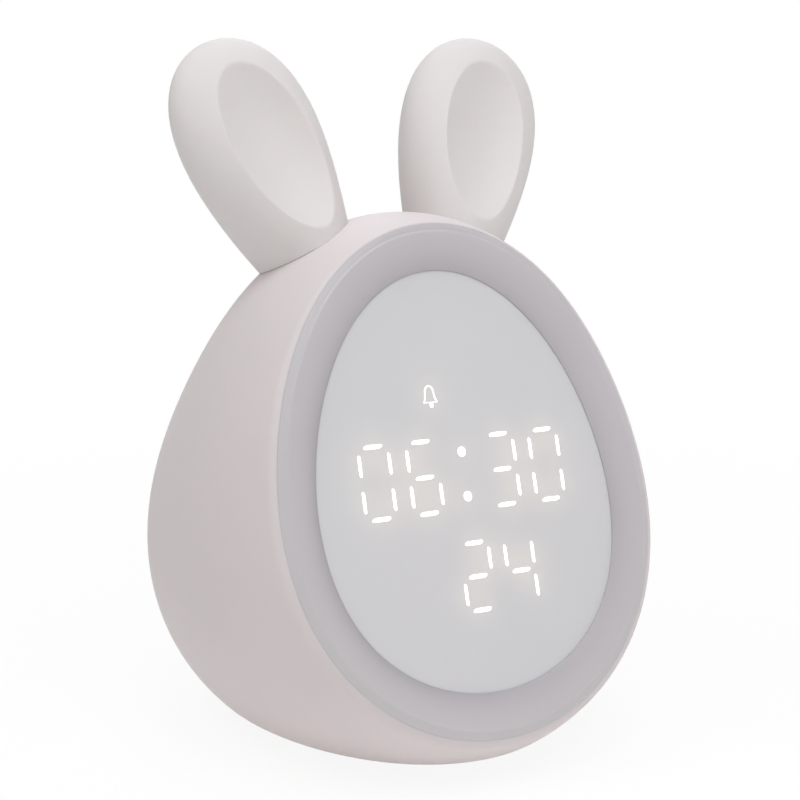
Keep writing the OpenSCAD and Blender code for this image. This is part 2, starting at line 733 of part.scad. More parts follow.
lead_socket = [6, 4.5, 4];
speaker_socket_place = [-13, -1.5];
battery_socket_place = [13, -28.5];
module main_sockets() color("#e9e4d4") on_rear() {
    translate([-socket_size.x / 2, socket_rise - socket_size.y / 2, main_z + board_t]) cube(socket_size);
    for (p = [speaker_socket_place, battery_socket_place])
        translate([p.x - lead_socket.x / 2, p.y - lead_socket.y / 2, main_z + board_t]) cube(lead_socket);
}

usb_wall = 0.4;
usb_back = 1.2;
usb_recess = 0.3;
tongue_w = 6.6;
tongue_t = 0.7;
tongue_short = 1;
module usb_socket() color(steel) on_rear() translate(usb_place) {
    difference() {
        translate([0, 0, usb_recess]) linear_extrude(main_z - usb_recess) stadium(usb_w, usb_h);
        translate([0, 0, usb_recess - eps]) linear_extrude(main_z - usb_recess - usb_back)
            stadium(usb_w - 2 * usb_wall, usb_h - 2 * usb_wall);
    }
    translate([-tongue_w / 2, -tongue_t / 2, usb_recess + tongue_short])
        cube([tongue_w, tongue_t, main_z - usb_recess - tongue_short - usb_back + eps]);
}

// ---- Push buttons ----
flange_w = 0.8;
flange_t = 1;
flange_gap = 0.1;
stem_r = 2;
crown_r = 0.8;
tact_h = 3.6;
tact_w = 6;
plunger_r = 1.7;
plunger_fit = 0.1;
plunger_top = 1.5;
plunger_deep = 1.6;
plunger_bore = plunger_deep + button_travel + 0.3;
tact_z = main_z - tact_h;
plunger_z = tact_z - plunger_top;
module button(p) {
    on_rear() translate(p) rotate_extrude() polygon(concat(
        [[0, -button_proud]],
        [for (a = [0 : 15 : 90]) [button_d / 2 - crown_r + crown_r * sin(a),
            -button_proud + crown_r - crown_r * cos(a)]],
        [[button_d / 2, cover_t + flange_gap], [button_d / 2 + flange_w, cover_t + flange_gap],
         [button_d / 2 + flange_w, cover_t + flange_gap + flange_t],
         [stem_r, cover_t + flange_gap + flange_t], [stem_r, plunger_z], [0, plunger_z]]));
}
module plunger(p) {
    on_rear() translate(p) rod(plunger_r, plunger_z, tact_z + plunger_deep);
}
module set_button() color(ring_colour) button(set_place);
module plus_button() color(ring_colour) button(plus_place);
module minus_button() color(ring_colour) button(minus_place);
module alarm_button() color(ring_colour) button(alarm_place);
module light_button() color(ring_colour) button(light_place);
module set_plunger() color(part_colour) plunger(set_place);
module plus_plunger() color(part_colour) plunger(plus_place);
module minus_plunger() color(part_colour) plunger(minus_place);
module alarm_plunger() color(part_colour) plunger(alarm_place);
module light_plunger() color(part_colour) plunger(light_place);

module tact_switches() color(part_colour) on_rear() for (p = button_places) translate(p) difference() {
    translate([-tact_w / 2, -tact_w / 2, tact_z]) cube([tact_w, tact_w, tact_h]);
    rod(plunger_r + plunger_fit, tact_z - eps, tact_z + plunger_bore);
}

// ---- Alarm ON/OFF slide switch; it rests at its -X end ----
switch_w = 10.4;
switch_d = 4.6;
switch_h = 4.2;
slider_w = 4;
slider_t = 1.8;
slider_deep = 2.6;
slider_fit = 0.1;
slot_deep = 3;
switch_z = main_z - switch_h;
rest_x = knob_place.x - knob_travel / 2;
knob_plate_t = 1;
knob_plate_grow = 1.2;
knob_proud = 0.8;
module alarm_switch_body() color(part_colour) on_rear() translate(concat(knob_place, switch_z))
    difference() {
        translate([-switch_w / 2, -switch_d / 2, 0]) cube([switch_w, switch_d, switch_h]);
        translate([-(slider_w + knob_travel) / 2 - slider_fit, -slider_t / 2 - slider_fit, -eps])
            cube([slider_w + knob_travel + 2 * slider_fit, slider_t + 2 * slider_fit, slot_deep]);
    }
slider_top = cover_t + flange_gap + knob_plate_t;
module alarm_switch_slider() color("#e9e4d4") on_rear()
    translate([rest_x - slider_w / 2, knob_place.y - slider_t / 2, slider_top])
    cube([slider_w, slider_t, switch_z + slider_deep - slider_top]);
module alarm_switch_knob() color(ring_colour) on_rear() translate([rest_x, knob_place.y]) {
    translate([0, 0, -knob_proud]) linear_extrude(knob_proud + slider_top) stadium(knob_w, knob_h);
    translate([0, 0, cover_t + flange_gap]) linear_extrude(knob_plate_t)
        stadium(knob_w + 2 * knob_plate_grow, knob_h + 2 * knob_plate_grow);
}

// ---- Loudspeaker ----
frame_t = 1.2;
frame_w = 2.2;
basket_r = 9;
basket_z = 5.5;
basket_t = 0.8;
cone_t = 0.5;
dome_r = 4.5;
cone_fall = 3;
magnet_r = 8.4;
magnet_h = 4;
module on_speaker() {
    on_rear() translate(concat(speaker_place, cover_t)) children();
}
module speaker_frame() color(part_colour) on_speaker() rotate_extrude() polygon([
    [speaker_d / 2 - frame_w, 0], [speaker_d / 2, 0], [speaker_d / 2, frame_t],
    [speaker_d / 2 - frame_w + basket_t, frame_t], [basket_r, basket_z], [0, basket_z],
    [0, basket_z - basket_t], [basket_r - basket_t, basket_z - basket_t],
    [speaker_d / 2 - frame_w, frame_t]]);
module speaker_cone() color("#4a4a50") on_speaker() rotate_extrude() polygon([
    [0, cone_fall - dome_r / 3], [dome_r, cone_fall], [speaker_d / 2 - frame_w, cone_t],
    [speaker_d / 2 - frame_w, 2 * cone_t], [dome_r, cone_fall + cone_t], [0, cone_fall + cone_t]]);
module speaker_magnet() color(steel) on_speaker() rod(magnet_r, basket_z, basket_z + magnet_h);
speaker_screw_l = 2;
speaker_head_r = 2.8;
speaker_head_h = 0.8;
module speaker_screws() color(steel) on_rear() each_speaker_post() translate([0, 0, cover_t + speaker_post_h])
    mirror([0, 0, 1]) screw(speaker_screw_l, screw_r, speaker_head_r, speaker_head_h);

lead_r = 1.1;
speaker_lead_route = [[-10.4, 40.8, 71], [-11.8, 39.8, 70.6], [-12.8, 37.5, 69], [-13.4, 34.5, 66.5],
    [-13.8, 31.5, 63], [-14, 29, 59], [-13.8, 27.2, 55], [-13.2, 28, 52], [-13, 30.6, 51.4]];
module speaker_lead() color("#b33a3a") lead(speaker_lead_route, lead_r, [1, 0, 0]);

// ---- Battery ----
tray_t = 1.6;
tray_wall = 1.2;
tray_wall_h = 7;
cell_fit = 0.3;
cell_r = 2;
module battery_tray() color("#e8e8ea") translate([0, core_y, tray_z]) difference() {
    round_plate(cell_l + 2 * (cell_fit + tray_wall), cell_w + 2 * (cell_fit + tray_wall), cell_r, tray_wall_h);
    translate([0, 0, tray_t]) round_plate(cell_l + 2 * cell_fit, cell_w + 2 * cell_fit, cell_r, tray_wall_h);
    for (x = [-1, 1]) for (y = [-1, 1]) translate([x * tray_screw_x, y * tray_screw_y]) {
        rod(screw_r + hole_fit, -eps, tray_t + eps);
        rod(screw_head_r + hole_fit, tray_t - head_sink, tray_t + eps);
    }
}
head_sink = 0.9;
tray_screw_l = 3.8;
tray_head_h = 0.8;
module tray_screws() color(steel) for (x = [-1, 1]) for (y = [-1, 1])
    translate([x * tray_screw_x, core_y + y * tray_screw_y, tray_z + tray_t - head_sink])
    mirror([0, 0, 1]) screw(tray_screw_l, screw_r, screw_head_r, tray_head_h);
module battery_cell() color("#8f9aa8") translate([0, core_y, tray_z + tray_t])
    round_plate(cell_l, cell_w, cell_r, cell_t);
battery_lead_route = [[10, 20.7, 15.8], [10.2, 22.6, 16], [10.8, 25, 17.4], [11.8, 26.6, 20],
    [12.7, 28.2, 22.8], [13, 30.5, 24.4]];
module battery_lead() color("#b33a3a") lead(battery_lead_route, lead_r, [1, 0, 0]);

// ---- Ears ----
ear_axis = [sin(ear_splay) * cos(ear_lean), sin(ear_lean), cos(ear_splay) * cos(ear_lean)];
ear_wide = unit(cross(ear_axis, [0, -cos(ear_lean), sin(ear_lean)]));
ear_front = cross(ear_wide, ear_axis);
ear_middle = core + [ear_x, ear_behind, ear_rise];
ear_sides = 28;
ear_rows = 13;
base_rows = 3;
function ear_half_w(s) = ear_w / 2 * sqrt(1 - pow(s, 2)) * (1 + ear_taper * s);
function ear_front_at(s, side) = sqrt(1 - pow(s, 2)) * side
    * (side > 0 ? ear_front_t * (1 - ear_front_thin * s) : ear_back_t * (1 - ear_back_thin * s))
    + ear_bend * pow(s, 2);
function ear_place(wide, front, along) =
    ear_middle + wide * ear_wide + front * ear_front + along * ear_axis;
function ear_point(p, t) = ear_place(ear_half_w(sin(p)) * cos(t), ear_front_at(sin(p), sin(t)),
    ear_l / 2 * sin(p));
function above_body(p) = norm(p - core) - body_reach(unit(p - core)) - ear_gap;
function ear_foot_angle(t, lo = -75, hi = 30, n = search_steps) =
    n == 0 ? hi
    : let (m = (lo + hi) / 2) above_body(ear_point(m, t)) > 0 ? ear_foot_angle(t, lo, m, n - 1)
        : ear_foot_angle(t, m, hi, n - 1);
function onto_body(p) = let (d = unit(p - core)) core + (body_reach(d) + ear_gap) * d;
function axis_foot(lo = -ear_l / 2, hi = ear_l / 3, n = search_steps) =
    n == 0 ? hi
    : let (m = (lo + hi) / 2) above_body(ear_middle + m * ear_axis) > 0 ? axis_foot(lo, m, n - 1)
        : axis_foot(m, hi, n - 1);
ear_foot = ear_middle + axis_foot() * ear_axis;

module ear_blank() {
    angles = [for (k = [0 : ear_sides - 1]) k * 360 / ear_sides];
    feet = [for (t = angles) ear_foot_angle(t)];
    base = [for (j = [1 : base_rows]) [for (k = [0 : ear_sides - 1])
        onto_body(mix(ear_foot, ear_point(feet[k], angles[k]), j / base_rows))]];
    sides = [for (j = [1 : ear_rows - 1]) [for (k = [0 : ear_sides - 1])
        ear_point(mix(feet[k], 90, sin(90 * j / ear_rows)), angles[k])]];
    capped_solid(onto_body(ear_foot), concat(base, sides), ear_point(90, 0));
}

// The dish in the front of an ear: its floor sinks below the ear's own surface
bowl_rows = 7;
bowl_out = 20;
bowl_power = 2.2;
function dish_outline(r, t) = [r * dish_w / 2 * cos(t) * (1 + dish_taper * sin(t)),
    dish_along + r * dish_l / 2 * sin(t)];
function dish_point(r, t, up) = let (p = dish_outline(r, t), s = 2 * p.y / ear_l)
    ear_place(p.x, ear_front_at(s, sqrt(1 - pow(p.x / ear_half_w(s), 2))) + up, p.y);
module ear_dish() {
    angles = [for (k = [0 : ear_sides - 1]) -k * 360 / ear_sides];
    floor_rings = [for (j = [1 : bowl_rows]) [for (t = angles)
        dish_point(j / bowl_rows, t, -dish_deep * (1 - pow(j / bowl_rows, bowl_power)))]];
    rim_ring = [for (t = angles) dish_point(1, t, bowl_out)];
    capped_solid(dish_point(0, 0, -dish_deep), concat(floor_rings, [rim_ring]),
        dish_point(0, 0, bowl_out));
}

// Frame at the foot of an ear, its Z along the body's outward normal
normal_step = 2;
foot_normal = unit(cross(
    onto_body(ear_foot + normal_step * ear_wide) - onto_body(ear_foot - normal_step * ear_wide),
    onto_body(ear_foot - normal_step * ear_front) - onto_body(ear_foot + normal_step * ear_front)));
foot_turn = [0, acos(foot_normal.z), atan2(foot_normal.y, foot_normal.x)];
module at_ear_foot(side) {
    scale_side(side) translate(onto_body(ear_foot)) rotate(foot_turn) children();
}
module scale_side(side) {
    mirror([side < 0 ? 1 : 0, 0, 0]) children();
}
ear_boss_r = 7.5;
ear_boss_top = 1.6;
ear_boss_z = 5;
spigot_up = 6;
spigot_pilot_r = 1.25;
spigot_screw_l = 9;
washer_r = 6.5;
washer_t = 1;
module ear() {
    difference() {
        union() {
            difference() {
                ear_blank();
                ear_dish();
            }
            translate(onto_body(ear_foot)) rotate(foot_turn) rod(spigot_d / 2, -ear_boss_z, spigot_up);
        }
        translate(onto_body(ear_foot)) rotate(foot_turn)
            rod(spigot_pilot_r, -ear_boss_z - eps, spigot_screw_l - ear_boss_z);
    }
}
module left_ear() color(ear_colour) scale_side(-1) ear();
module right_ear() color(ear_colour) ear();
module ear_washers() color(steel) for (side = [-1, 1]) at_ear_foot(side) difference() {
    rod(washer_r, -ear_boss_z - washer_t, -ear_boss_z);
    rod(spigot_pilot_r + hole_fit, -ear_boss_z - washer_t - eps, -ear_boss_z + eps);
}
module ear_screws() color(steel) for (side = [-1, 1]) at_ear_foot(side)
    translate([0, 0, -ear_boss_z - washer_t])
    screw(spigot_screw_l, spigot_pilot_r - pilot_gap, cover_head_r, cover_sink);

body_shell();
rear_cover();
cover_screws();
foot_pad();
face_ring();
display_plate();
segment_mask();
display_board();
display_screws();
segment_leds();
night_light_leds();
display_driver();
display_socket();
display_ribbon();
main_board();
main_board_screws();
processor();
clock_crystal();
main_sockets();
usb_socket();
set_button();
plus_button();
minus_button();
alarm_button();
light_button();
set_plunger();
plus_plunger();
minus_plunger();
alarm_plunger();
light_plunger();
tact_switches();
alarm_switch_body();
alarm_switch_slider();
alarm_switch_knob();
speaker_frame();
speaker_cone();
speaker_magnet();
speaker_screws();
speaker_lead();
battery_cell();
battery_tray();
tray_screws();
battery_lead();
left_ear();
right_ear();
ear_screws();
ear_washers();
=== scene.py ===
# %% [markdown]
# # A bedside clock with ears, dressed for the camera
# The solid model of this clock is already made: it says how big every piece is and where it sits.
# This lesson loads it as a fixed frame and dresses it: smooth skins over the coarse ones, a plate
# that lights up, and a finish for every material. Lengths are written in millimetres and turned
# into metres once, because Blender and the frame both count in metres.

# %% Load the frame
import json
import math
import bmesh
import bpy
import numpy as np
from mathutils import Matrix, Vector


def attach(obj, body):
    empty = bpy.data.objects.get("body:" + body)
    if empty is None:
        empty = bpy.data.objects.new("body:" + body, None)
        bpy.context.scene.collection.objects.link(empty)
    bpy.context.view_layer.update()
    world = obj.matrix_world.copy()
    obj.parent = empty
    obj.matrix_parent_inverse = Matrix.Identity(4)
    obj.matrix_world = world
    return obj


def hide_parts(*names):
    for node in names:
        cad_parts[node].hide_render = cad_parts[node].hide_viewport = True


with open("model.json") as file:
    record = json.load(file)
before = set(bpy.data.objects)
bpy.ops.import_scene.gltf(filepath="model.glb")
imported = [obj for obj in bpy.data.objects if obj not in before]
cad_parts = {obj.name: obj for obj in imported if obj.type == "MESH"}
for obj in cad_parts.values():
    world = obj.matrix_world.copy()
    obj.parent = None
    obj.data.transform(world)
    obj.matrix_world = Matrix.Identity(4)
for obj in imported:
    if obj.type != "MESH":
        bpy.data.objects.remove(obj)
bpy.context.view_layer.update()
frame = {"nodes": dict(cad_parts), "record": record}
MM = 0.001
print("nodes in the frame:", len(frame["nodes"]))

# %% [markdown]
# ## The camera
# A small thing is best seen through a longish lens from about 40 cm away, a little from above:
# closer by, the ears would grow and the foot would shrink. The place of the camera is given by
# the point it looks at, the direction back from there and the distance, which are easy to judge.

# %% Camera
LOOK_AT = np.array([-16.88, -30.86, 84.6])
AZIMUTH, ELEVATION, DISTANCE = math.radians(-27.0), math.radians(10.57), 400.0
SENSOR, FOCAL_PIXELS, PICTURE_PIXELS = 36.0, 1899.7, 800

back = np.array([math.sin(AZIMUTH) * math.cos(ELEVATION), -math.cos(AZIMUTH) * math.cos(ELEVATION),
                 math.sin(ELEVATION)])
camera_data = bpy.data.cameras.new("camera")
camera_data.sensor_width = SENSOR
camera_data.lens = SENSOR * FOCAL_PIXELS / PICTURE_PIXELS
camera = bpy.data.objects.new("camera", camera_data)
camera.location = (LOOK_AT + DISTANCE * back) * MM
camera.rotation_euler = Vector(-back).to_track_quat("-Z", "Y").to_euler()
bpy.context.collection.objects.link(camera)
bpy.context.scene.camera = camera
print("focal length in mm:", round(camera_data.lens, 1))

# %% [markdown]
# ## The form of the body
# The body is an egg whose foot, front and back are cut off by planes, with every edge softened.
# It could be sculpted, or cut with booleans and bevelled, but those leave dents where the soft
# edges meet. Here the body is one function instead: for any direction from the core it gives the
# distance to the skin. Taking the smaller of two distances cuts the egg with a plane, and a soft
# minimum rounds the edge of that cut.

# %% Sizes of the egg and its cuts
CORE = np.array([0.0, 5.6, 52.9])
EGG = dict(w=108.6, d=144.2, h=127.9, taper=0.119, fill=0.011, crown=0.169, lean=0.1)
FACE_TILT = math.radians(19.7)
FACE_REACH, REAR_REACH, BASE_DROP = 38.9, 41.5, 51.9
ROUND_TOP, ROUND_SIDE, ROUND_BOTTOM, ROUND_REAR, ROUND_HEEL, ROUND_BASE = 0.9, 5.0, 9.0, 8.0, 14.0, 6.0
CRISP_SHARE = 0.3  # share of the face's height, from its top, over which its rim turns soft
FAR = 1e4  # the distance to a plane that a direction never meets
TINY = 0.01  # keeps divisions away from zero
HALVINGS = 40  # enough to place a point far more finely than a micrometre
ACROSS, REARWARDS, UPWARDS = np.eye(3)
FACE_N = np.array([0, -math.cos(FACE_TILT), math.sin(FACE_TILT)])
FACE_V = np.array([0, math.sin(FACE_TILT), math.cos(FACE_TILT)])
FACE_CENTRE = CORE + FACE_REACH * FACE_N
REAR_CENTRE = CORE + REAR_REACH * REARWARDS
print("middle of the face in mm:", FACE_CENTRE.round(1))

# %% [markdown]
# The egg is a ball stretched to its three sizes, with small terms that make it narrower above. A
# plane lies further off the less a direction points to it. How soft an edge is changes on its way
# around, so the face has a crisp rim on top and a soft one low down.

# %% The body as a function
def unit(v):
    """Vectors of length 1 along v."""
    return v / np.linalg.norm(v, axis=-1, keepdims=True)


def mix(a, b, t):
    """What lies at share t of the way from a to b."""
    return (1 - t) * a + t * b


def soft_min(a, b, softness):
    """The smaller of two distances, with the edge where they cross rounded."""
    return np.minimum(a, b) - np.maximum(softness - np.abs(a - b), 0) ** 2 / (4 * softness)


def plane_reach(d, normal, reach):
    """Distance along d from the core to a plane."""
    toward = d @ normal
    return np.where(toward > TINY, reach / np.maximum(toward, TINY), FAR)


def footed_reach(d):
    """Distance along d to the egg on its flat foot, before its front and rear are cut."""
    x, y, z = d[..., 0], d[..., 1], d[..., 2]
    size = np.sqrt((2 * x / EGG["w"]) ** 2 + (2 * y / EGG["d"]) ** 2 + (2 * z / EGG["h"]) ** 2)
    swell = 1 - EGG["taper"] * z + EGG["fill"] * z**2 + EGG["crown"] * z**3 - EGG["lean"] * y * z
    return soft_min(swell / size, plane_reach(d, -UPWARDS, BASE_DROP), ROUND_BASE)


def body_reach(d):
    """Distance along d to the outside of the body. Its edges are crisp on top and soft low down."""
    high = d @ FACE_V / np.sqrt(np.maximum(TINY, 1 - (d @ FACE_N) ** 2))
    down = np.clip((1 - high) / 2, 0, 1)
    near_top = 1 - np.minimum(down / CRISP_SHARE, 1)
    side_round = ROUND_SIDE - (ROUND_SIDE - ROUND_TOP) * near_top**2
    face_round = side_round + (ROUND_BOTTOM - ROUND_SIDE) * down**3
    low = (1 - d[..., 2] / np.sqrt(np.maximum(TINY, 1 - d[..., 1] ** 2))) / 2
    rear_round = mix(ROUND_REAR, ROUND_HEEL, low**2)
    cut = soft_min(footed_reach(d), plane_reach(d, FACE_N, FACE_REACH), face_round)
    return soft_min(cut, plane_reach(d, REARWARDS, REAR_REACH), rear_round)


def skin(d, depth=0.0):
    """Points of the body's surface along the directions d, or of one that deep below it."""
    return CORE + (body_reach(d) - depth)[..., None] * d


def bisect(inside, low, high):
    """The last value, between low and high, at which inside() still holds. Works on arrays."""
    for _ in range(HALVINGS):
        middle = (low + high) / 2
        ok = inside(middle)
        low, high = np.where(ok, middle, low), np.where(ok, high, middle)
    return low


print("body half width in mm:", round(float(skin(unit(np.array([[1.0, 0, 0]])))[0, 0]), 2))

# %% [markdown]
# ## Openings
# The front opening follows the sharp line where the egg meets the face plane, a lip's width
# inside it. The rear one is an egg of its own. All rings of the mesh run around both with the
# same number of points, so that the skin between them is a plain grid of quads with no poles.

# %% The outlines of the face, the display and the rear cover
COLUMNS, LIP = 288, 2.0
ROUND_ANGLES = np.arange(COLUMNS) * 2 * math.pi / COLUMNS
RING_SIDE, RING_END, DISPLAY_TAPER, DISPLAY_FILL = 7.4, 8.3, 0.131, 0.051
COVER_W, COVER_H, COVER_TAPER, COVER_FALL = 72.0, 81.0, 0.12, 2.0
WIDEST = 120.0  # further out than any point of the body


def around(angle, v_axis):
    """Directions at an angle around a face, whose own up is v_axis."""
    return np.cos(angle)[..., None] * ACROSS + np.sin(angle)[..., None] * v_axis


def rim_radius(angle):
    """Radius at which the egg crosses the face plane, at an angle around its middle."""
    def inside(r):
        p = FACE_CENTRE + r[..., None] * around(angle, FACE_V) - CORE
        return footed_reach(unit(p)) > np.linalg.norm(p, axis=-1)
    return bisect(inside, np.zeros_like(angle), np.full_like(angle, WIDEST))


FACE_OPEN = rim_radius(ROUND_ANGLES) - LIP
SIDE, TOP, BOTTOM = rim_radius(np.array([0, math.pi / 2, 3 * math.pi / 2])) - LIP
HALF_W, HALF_H, RISE = SIDE - RING_SIDE, (TOP + BOTTOM) / 2 - RING_END, (TOP - BOTTOM) / 2
print("display half sizes in mm:", round(float(HALF_W), 2), round(float(HALF_H), 2))


def display_edge(angle, grow=0.0):
    """The display's outline on the face plane, or one that much larger."""
    s = np.sin(angle)
    return np.stack([(HALF_W + grow) * np.cos(angle) * (1 - DISPLAY_TAPER * s + DISPLAY_FILL * s**2),
                     RISE + (HALF_H + grow) * s], axis=-1)


def cover_edge(angle, grow=0.0):
    """The rear opening's outline, or one that much larger."""
    s = np.sin(angle)
    return np.stack([(COVER_W / 2 + grow) * np.cos(angle) * (1 - COVER_TAPER * s),
                     -COVER_FALL + (COVER_H / 2 + grow) * s], axis=-1)


# %% [markdown]
# Outlines are flat, so a helper for each plane puts them in place, given how far out of it they
# lie. The height of the skin above the face is found by halving a step until it fits.

# %% From flat outlines to places
def face_point(xy, height):
    """A point given on the face plane: across, up it, and out of it."""
    height = np.broadcast_to(np.asarray(height, float), np.shape(xy)[:-1])
    return FACE_CENTRE + xy[..., :1] * ACROSS + xy[..., 1:2] * FACE_V + height[..., None] * FACE_N


def rear_point(xy, depth):
    """A point given on the rear: across, up from the core, and inwards."""
    depth = np.broadcast_to(np.asarray(depth, float), np.shape(xy)[:-1])
    return REAR_CENTRE + xy[..., :1] * ACROSS + xy[..., 1:2] * UPWARDS - depth[..., None] * REARWARDS


def polar(radius, angle=ROUND_ANGLES):
    """Flat points at a radius and an angle."""
    return np.stack([radius * np.cos(angle), radius * np.sin(angle)], axis=-1)


def skin_height(radius):
    """Height of the body's skin over the face plane at a radius from its middle."""
    def inside(height):
        p = face_point(polar(radius), height) - CORE
        return body_reach(unit(p)) > np.linalg.norm(p, axis=-1)
    return bisect(inside, np.full(COLUMNS, -ROUND_BOTTOM), np.zeros(COLUMNS))


BRIM_IN, BRIM_T = 0.15, 0.4
SKIN_OPEN = FACE_OPEN + LIP - BRIM_IN
LIP_HEIGHT, SKIN_EDGE = skin_height(FACE_OPEN), skin_height(SKIN_OPEN)
print("the lip lies below the face plane by up to", round(float(-LIP_HEIGHT.min()), 2), "mm")

# %% [markdown]
# ## One way to make a mesh
# Every skin here is a stack of rings. One helper joins them into quads, closes the ends with a
# fan where asked, and moves the result to metres. Smooth shading is kept, and a sharp edge is made
# the way a mould makes it: by a few rings close together that form a small round.

# %% Ring meshes
ROUND_STEPS = 3


def mesh_object(name, mesh):
    """An object for a mesh, its faces turned outwards and shaded smooth."""
    work = bmesh.new()
    work.from_mesh(mesh)
    bmesh.ops.recalc_face_normals(work, faces=work.faces)
    work.to_mesh(mesh)
    work.free()
    mesh.shade_smooth()
    obj = bpy.data.objects.new(name, mesh)
    bpy.context.collection.objects.link(obj)
    return obj


def ring_mesh(name, rings, start=None, end=None, loop=False):
    """Quads between neighbouring rings. The ends close on a start and an end point, or in a loop."""
    rings = [np.asarray(r) for r in rings]
    columns, rows = len(rings[0]), len(rings)
    verts = np.concatenate(rings)
    faces = []
    for j in range(rows if loop else rows - 1):
        a, b = j * columns, (j + 1) % rows * columns
        faces += [(a + i, a + (i + 1) % columns, b + (i + 1) % columns, b + i)
                  for i in range(columns)]
    for tip, row in ((start, 0), (end, rows - 1)):
        if tip is not None:
            verts = np.vstack([verts, tip])
            n, a = len(verts) - 1, row * columns
            faces += [(n, a + (i + 1) % columns, a + i) if row == 0 else (n, a + i, a + (i + 1) % columns)
                      for i in range(columns)]
    mesh = bpy.data.meshes.new(name)
    mesh.from_pydata((verts * MM).tolist(), [], faces)
    return mesh_object(name, mesh)


def soft_corner(before, corner, after, size):
    """Rings that round a corner: each takes the edge back by size along both of its sides."""
    a = corner + size * unit(before - corner)
    b = corner + size * unit(after - corner)
    return [mix(mix(a, corner, t), mix(corner, b, t), t)
            for t in np.linspace(0, 1, ROUND_STEPS + 1)[:, None, None]]


print("rings in a small round:", ROUND_STEPS + 1)

# %% [markdown]
# ## The body skin
# On the real clock this is one ABS shell about 3 mm thick, with a thin lip around the face.
# Its rings run from the lip over the outside to the rear, in through the rear opening, along the
# inside and back to the shelf that carries the face ring, so the shell is a closed solid.

# %% Outside and lining
WALL, COVER_INSET, COVER_T, LEDGE_W, LEDGE_T = 2.8, 0.2, 2.4, 3.5, 2.0
OUTER_ROWS, LINING_ROWS = 120, 24
SKIN_IN = 0.04  # the smooth skin bulges that much over the flat facets of the solid one
LINING_FRONT, LINING_REAR = math.radians(9), math.radians(13)  # where it starts, past the openings

front_way = unit(face_point(polar(SKIN_OPEN), SKIN_EDGE) - CORE)
rear_way = unit(rear_point(cover_edge(ROUND_ANGLES), 0) - CORE)
span = np.arccos(np.sum(front_way * rear_way, axis=-1))


def meridian(angle):
    """Directions at an angle on the way from the front opening to the rear one."""
    front_part, rear_part = np.sin(span - angle)[:, None] * front_way, np.sin(angle)[:, None] * rear_way
    return (front_part + rear_part) / np.sin(span)[:, None]


# The rows lie closer together towards both openings, where the skin bends most.
shares = (1 - np.cos(np.linspace(0, math.pi, OUTER_ROWS + 1))) / 2
outer = [skin(meridian(span * s), SKIN_IN) for s in shares]
ledge = COVER_INSET + COVER_T
rear_rings = [rear_point(cover_edge(ROUND_ANGLES), ledge),
              rear_point(cover_edge(ROUND_ANGLES, -LEDGE_W), ledge),
              rear_point(cover_edge(ROUND_ANGLES, -LEDGE_W), ledge + LEDGE_T)]
lining = [skin(meridian(mix(LINING_FRONT, span - LINING_REAR, t)), WALL)
          for t in np.linspace(1, 0, LINING_ROWS)]
print("rows outside:", len(outer), "rows of lining:", len(lining))

# %% [markdown]
# The face ring rests on a shelf inside the shell. Where the shelf's underside runs into the lining
# is found by halving, like the other rims. Small rounds then take the edge off both lips.

# %% Body skin
RING_SEAT, SHELF_W, SHELF_T = 3.2, 2.2, 2.0
LIP_ROUND, FRONT_LIP_ROUND = 0.25, 0.1
LIP_ROWS = 4  # rows at each end of the skin that give way to the round of a lip


def lining_inside(r):
    """True where a point on the shelf's underside is still inside the lining."""
    p = face_point(polar(r), -RING_SEAT - SHELF_T) - CORE
    return body_reach(unit(p)) - WALL > np.linalg.norm(p, axis=-1)


shelf_root = bisect(lining_inside, np.zeros(COLUMNS), np.full(COLUMNS, WIDEST))
front_rings = [face_point(polar(shelf_root), -RING_SEAT - SHELF_T),
               face_point(polar(FACE_OPEN - SHELF_W), -RING_SEAT - SHELF_T),
               face_point(polar(FACE_OPEN - SHELF_W), -RING_SEAT),
               face_point(polar(FACE_OPEN), -RING_SEAT),
               face_point(polar(FACE_OPEN), LIP_HEIGHT - BRIM_T),
               face_point(polar(SKIN_OPEN), SKIN_EDGE - BRIM_T)]
front_lip = soft_corner(front_rings[-1], outer[0], outer[LIP_ROWS], FRONT_LIP_ROUND)
rear_lip = soft_corner(outer[-LIP_ROWS - 1], outer[-1], rear_rings[0], LIP_ROUND)
outside = front_lip + outer[LIP_ROWS:-LIP_ROWS] + rear_lip
body_skin = ring_mesh("body_skin", outside + rear_rings + lining + front_rings, loop=True)
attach(body_skin, "clock")
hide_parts("body_shell")
print("body skin faces:", len(body_skin.data.polygons))

# %% [markdown]
# ## The face ring
# The ring is a separate moulding of frosted polycarbonate, lit from behind when the night light is
# on. Its front is a shallow dish: nearly flat at its outer bead, then rolling down to the display.
# Outside the bead a thin brim laps over the body's lip and hides the joint. A profile function
# gives the roll, and the rings follow it from the display outwards.

# %% Face ring
RING_GAP, RING_DROP, RING_EDGE, DISH_SOFT, RING_ROUND = 0.03, 2.35, 0.15, 0.6, 0.25
PROUD_FOOT, PROUD_RISE = 0.02, 0.16  # the bead stands that proud at the foot, and more towards the top
RING_PROUD = PROUD_FOOT + PROUD_RISE * (1 + np.sin(ROUND_ANGLES)) / 2
BEAD, ROLL_ROWS, BRIM_ROWS = 0.4, 40, 8
SEAT_BAND, FENCE_W, FENCE_H = 3.0, 1.4, 2.0
DISPLAY_TOP = -RING_DROP - RING_EDGE


def dish_fall(q):
    """How far the dish has sunk at share q of the way from the bead to the display."""
    return RING_DROP * (DISH_SOFT * q**2 + (1 - DISH_SOFT) * (1 - np.sqrt(1 - q**2)))


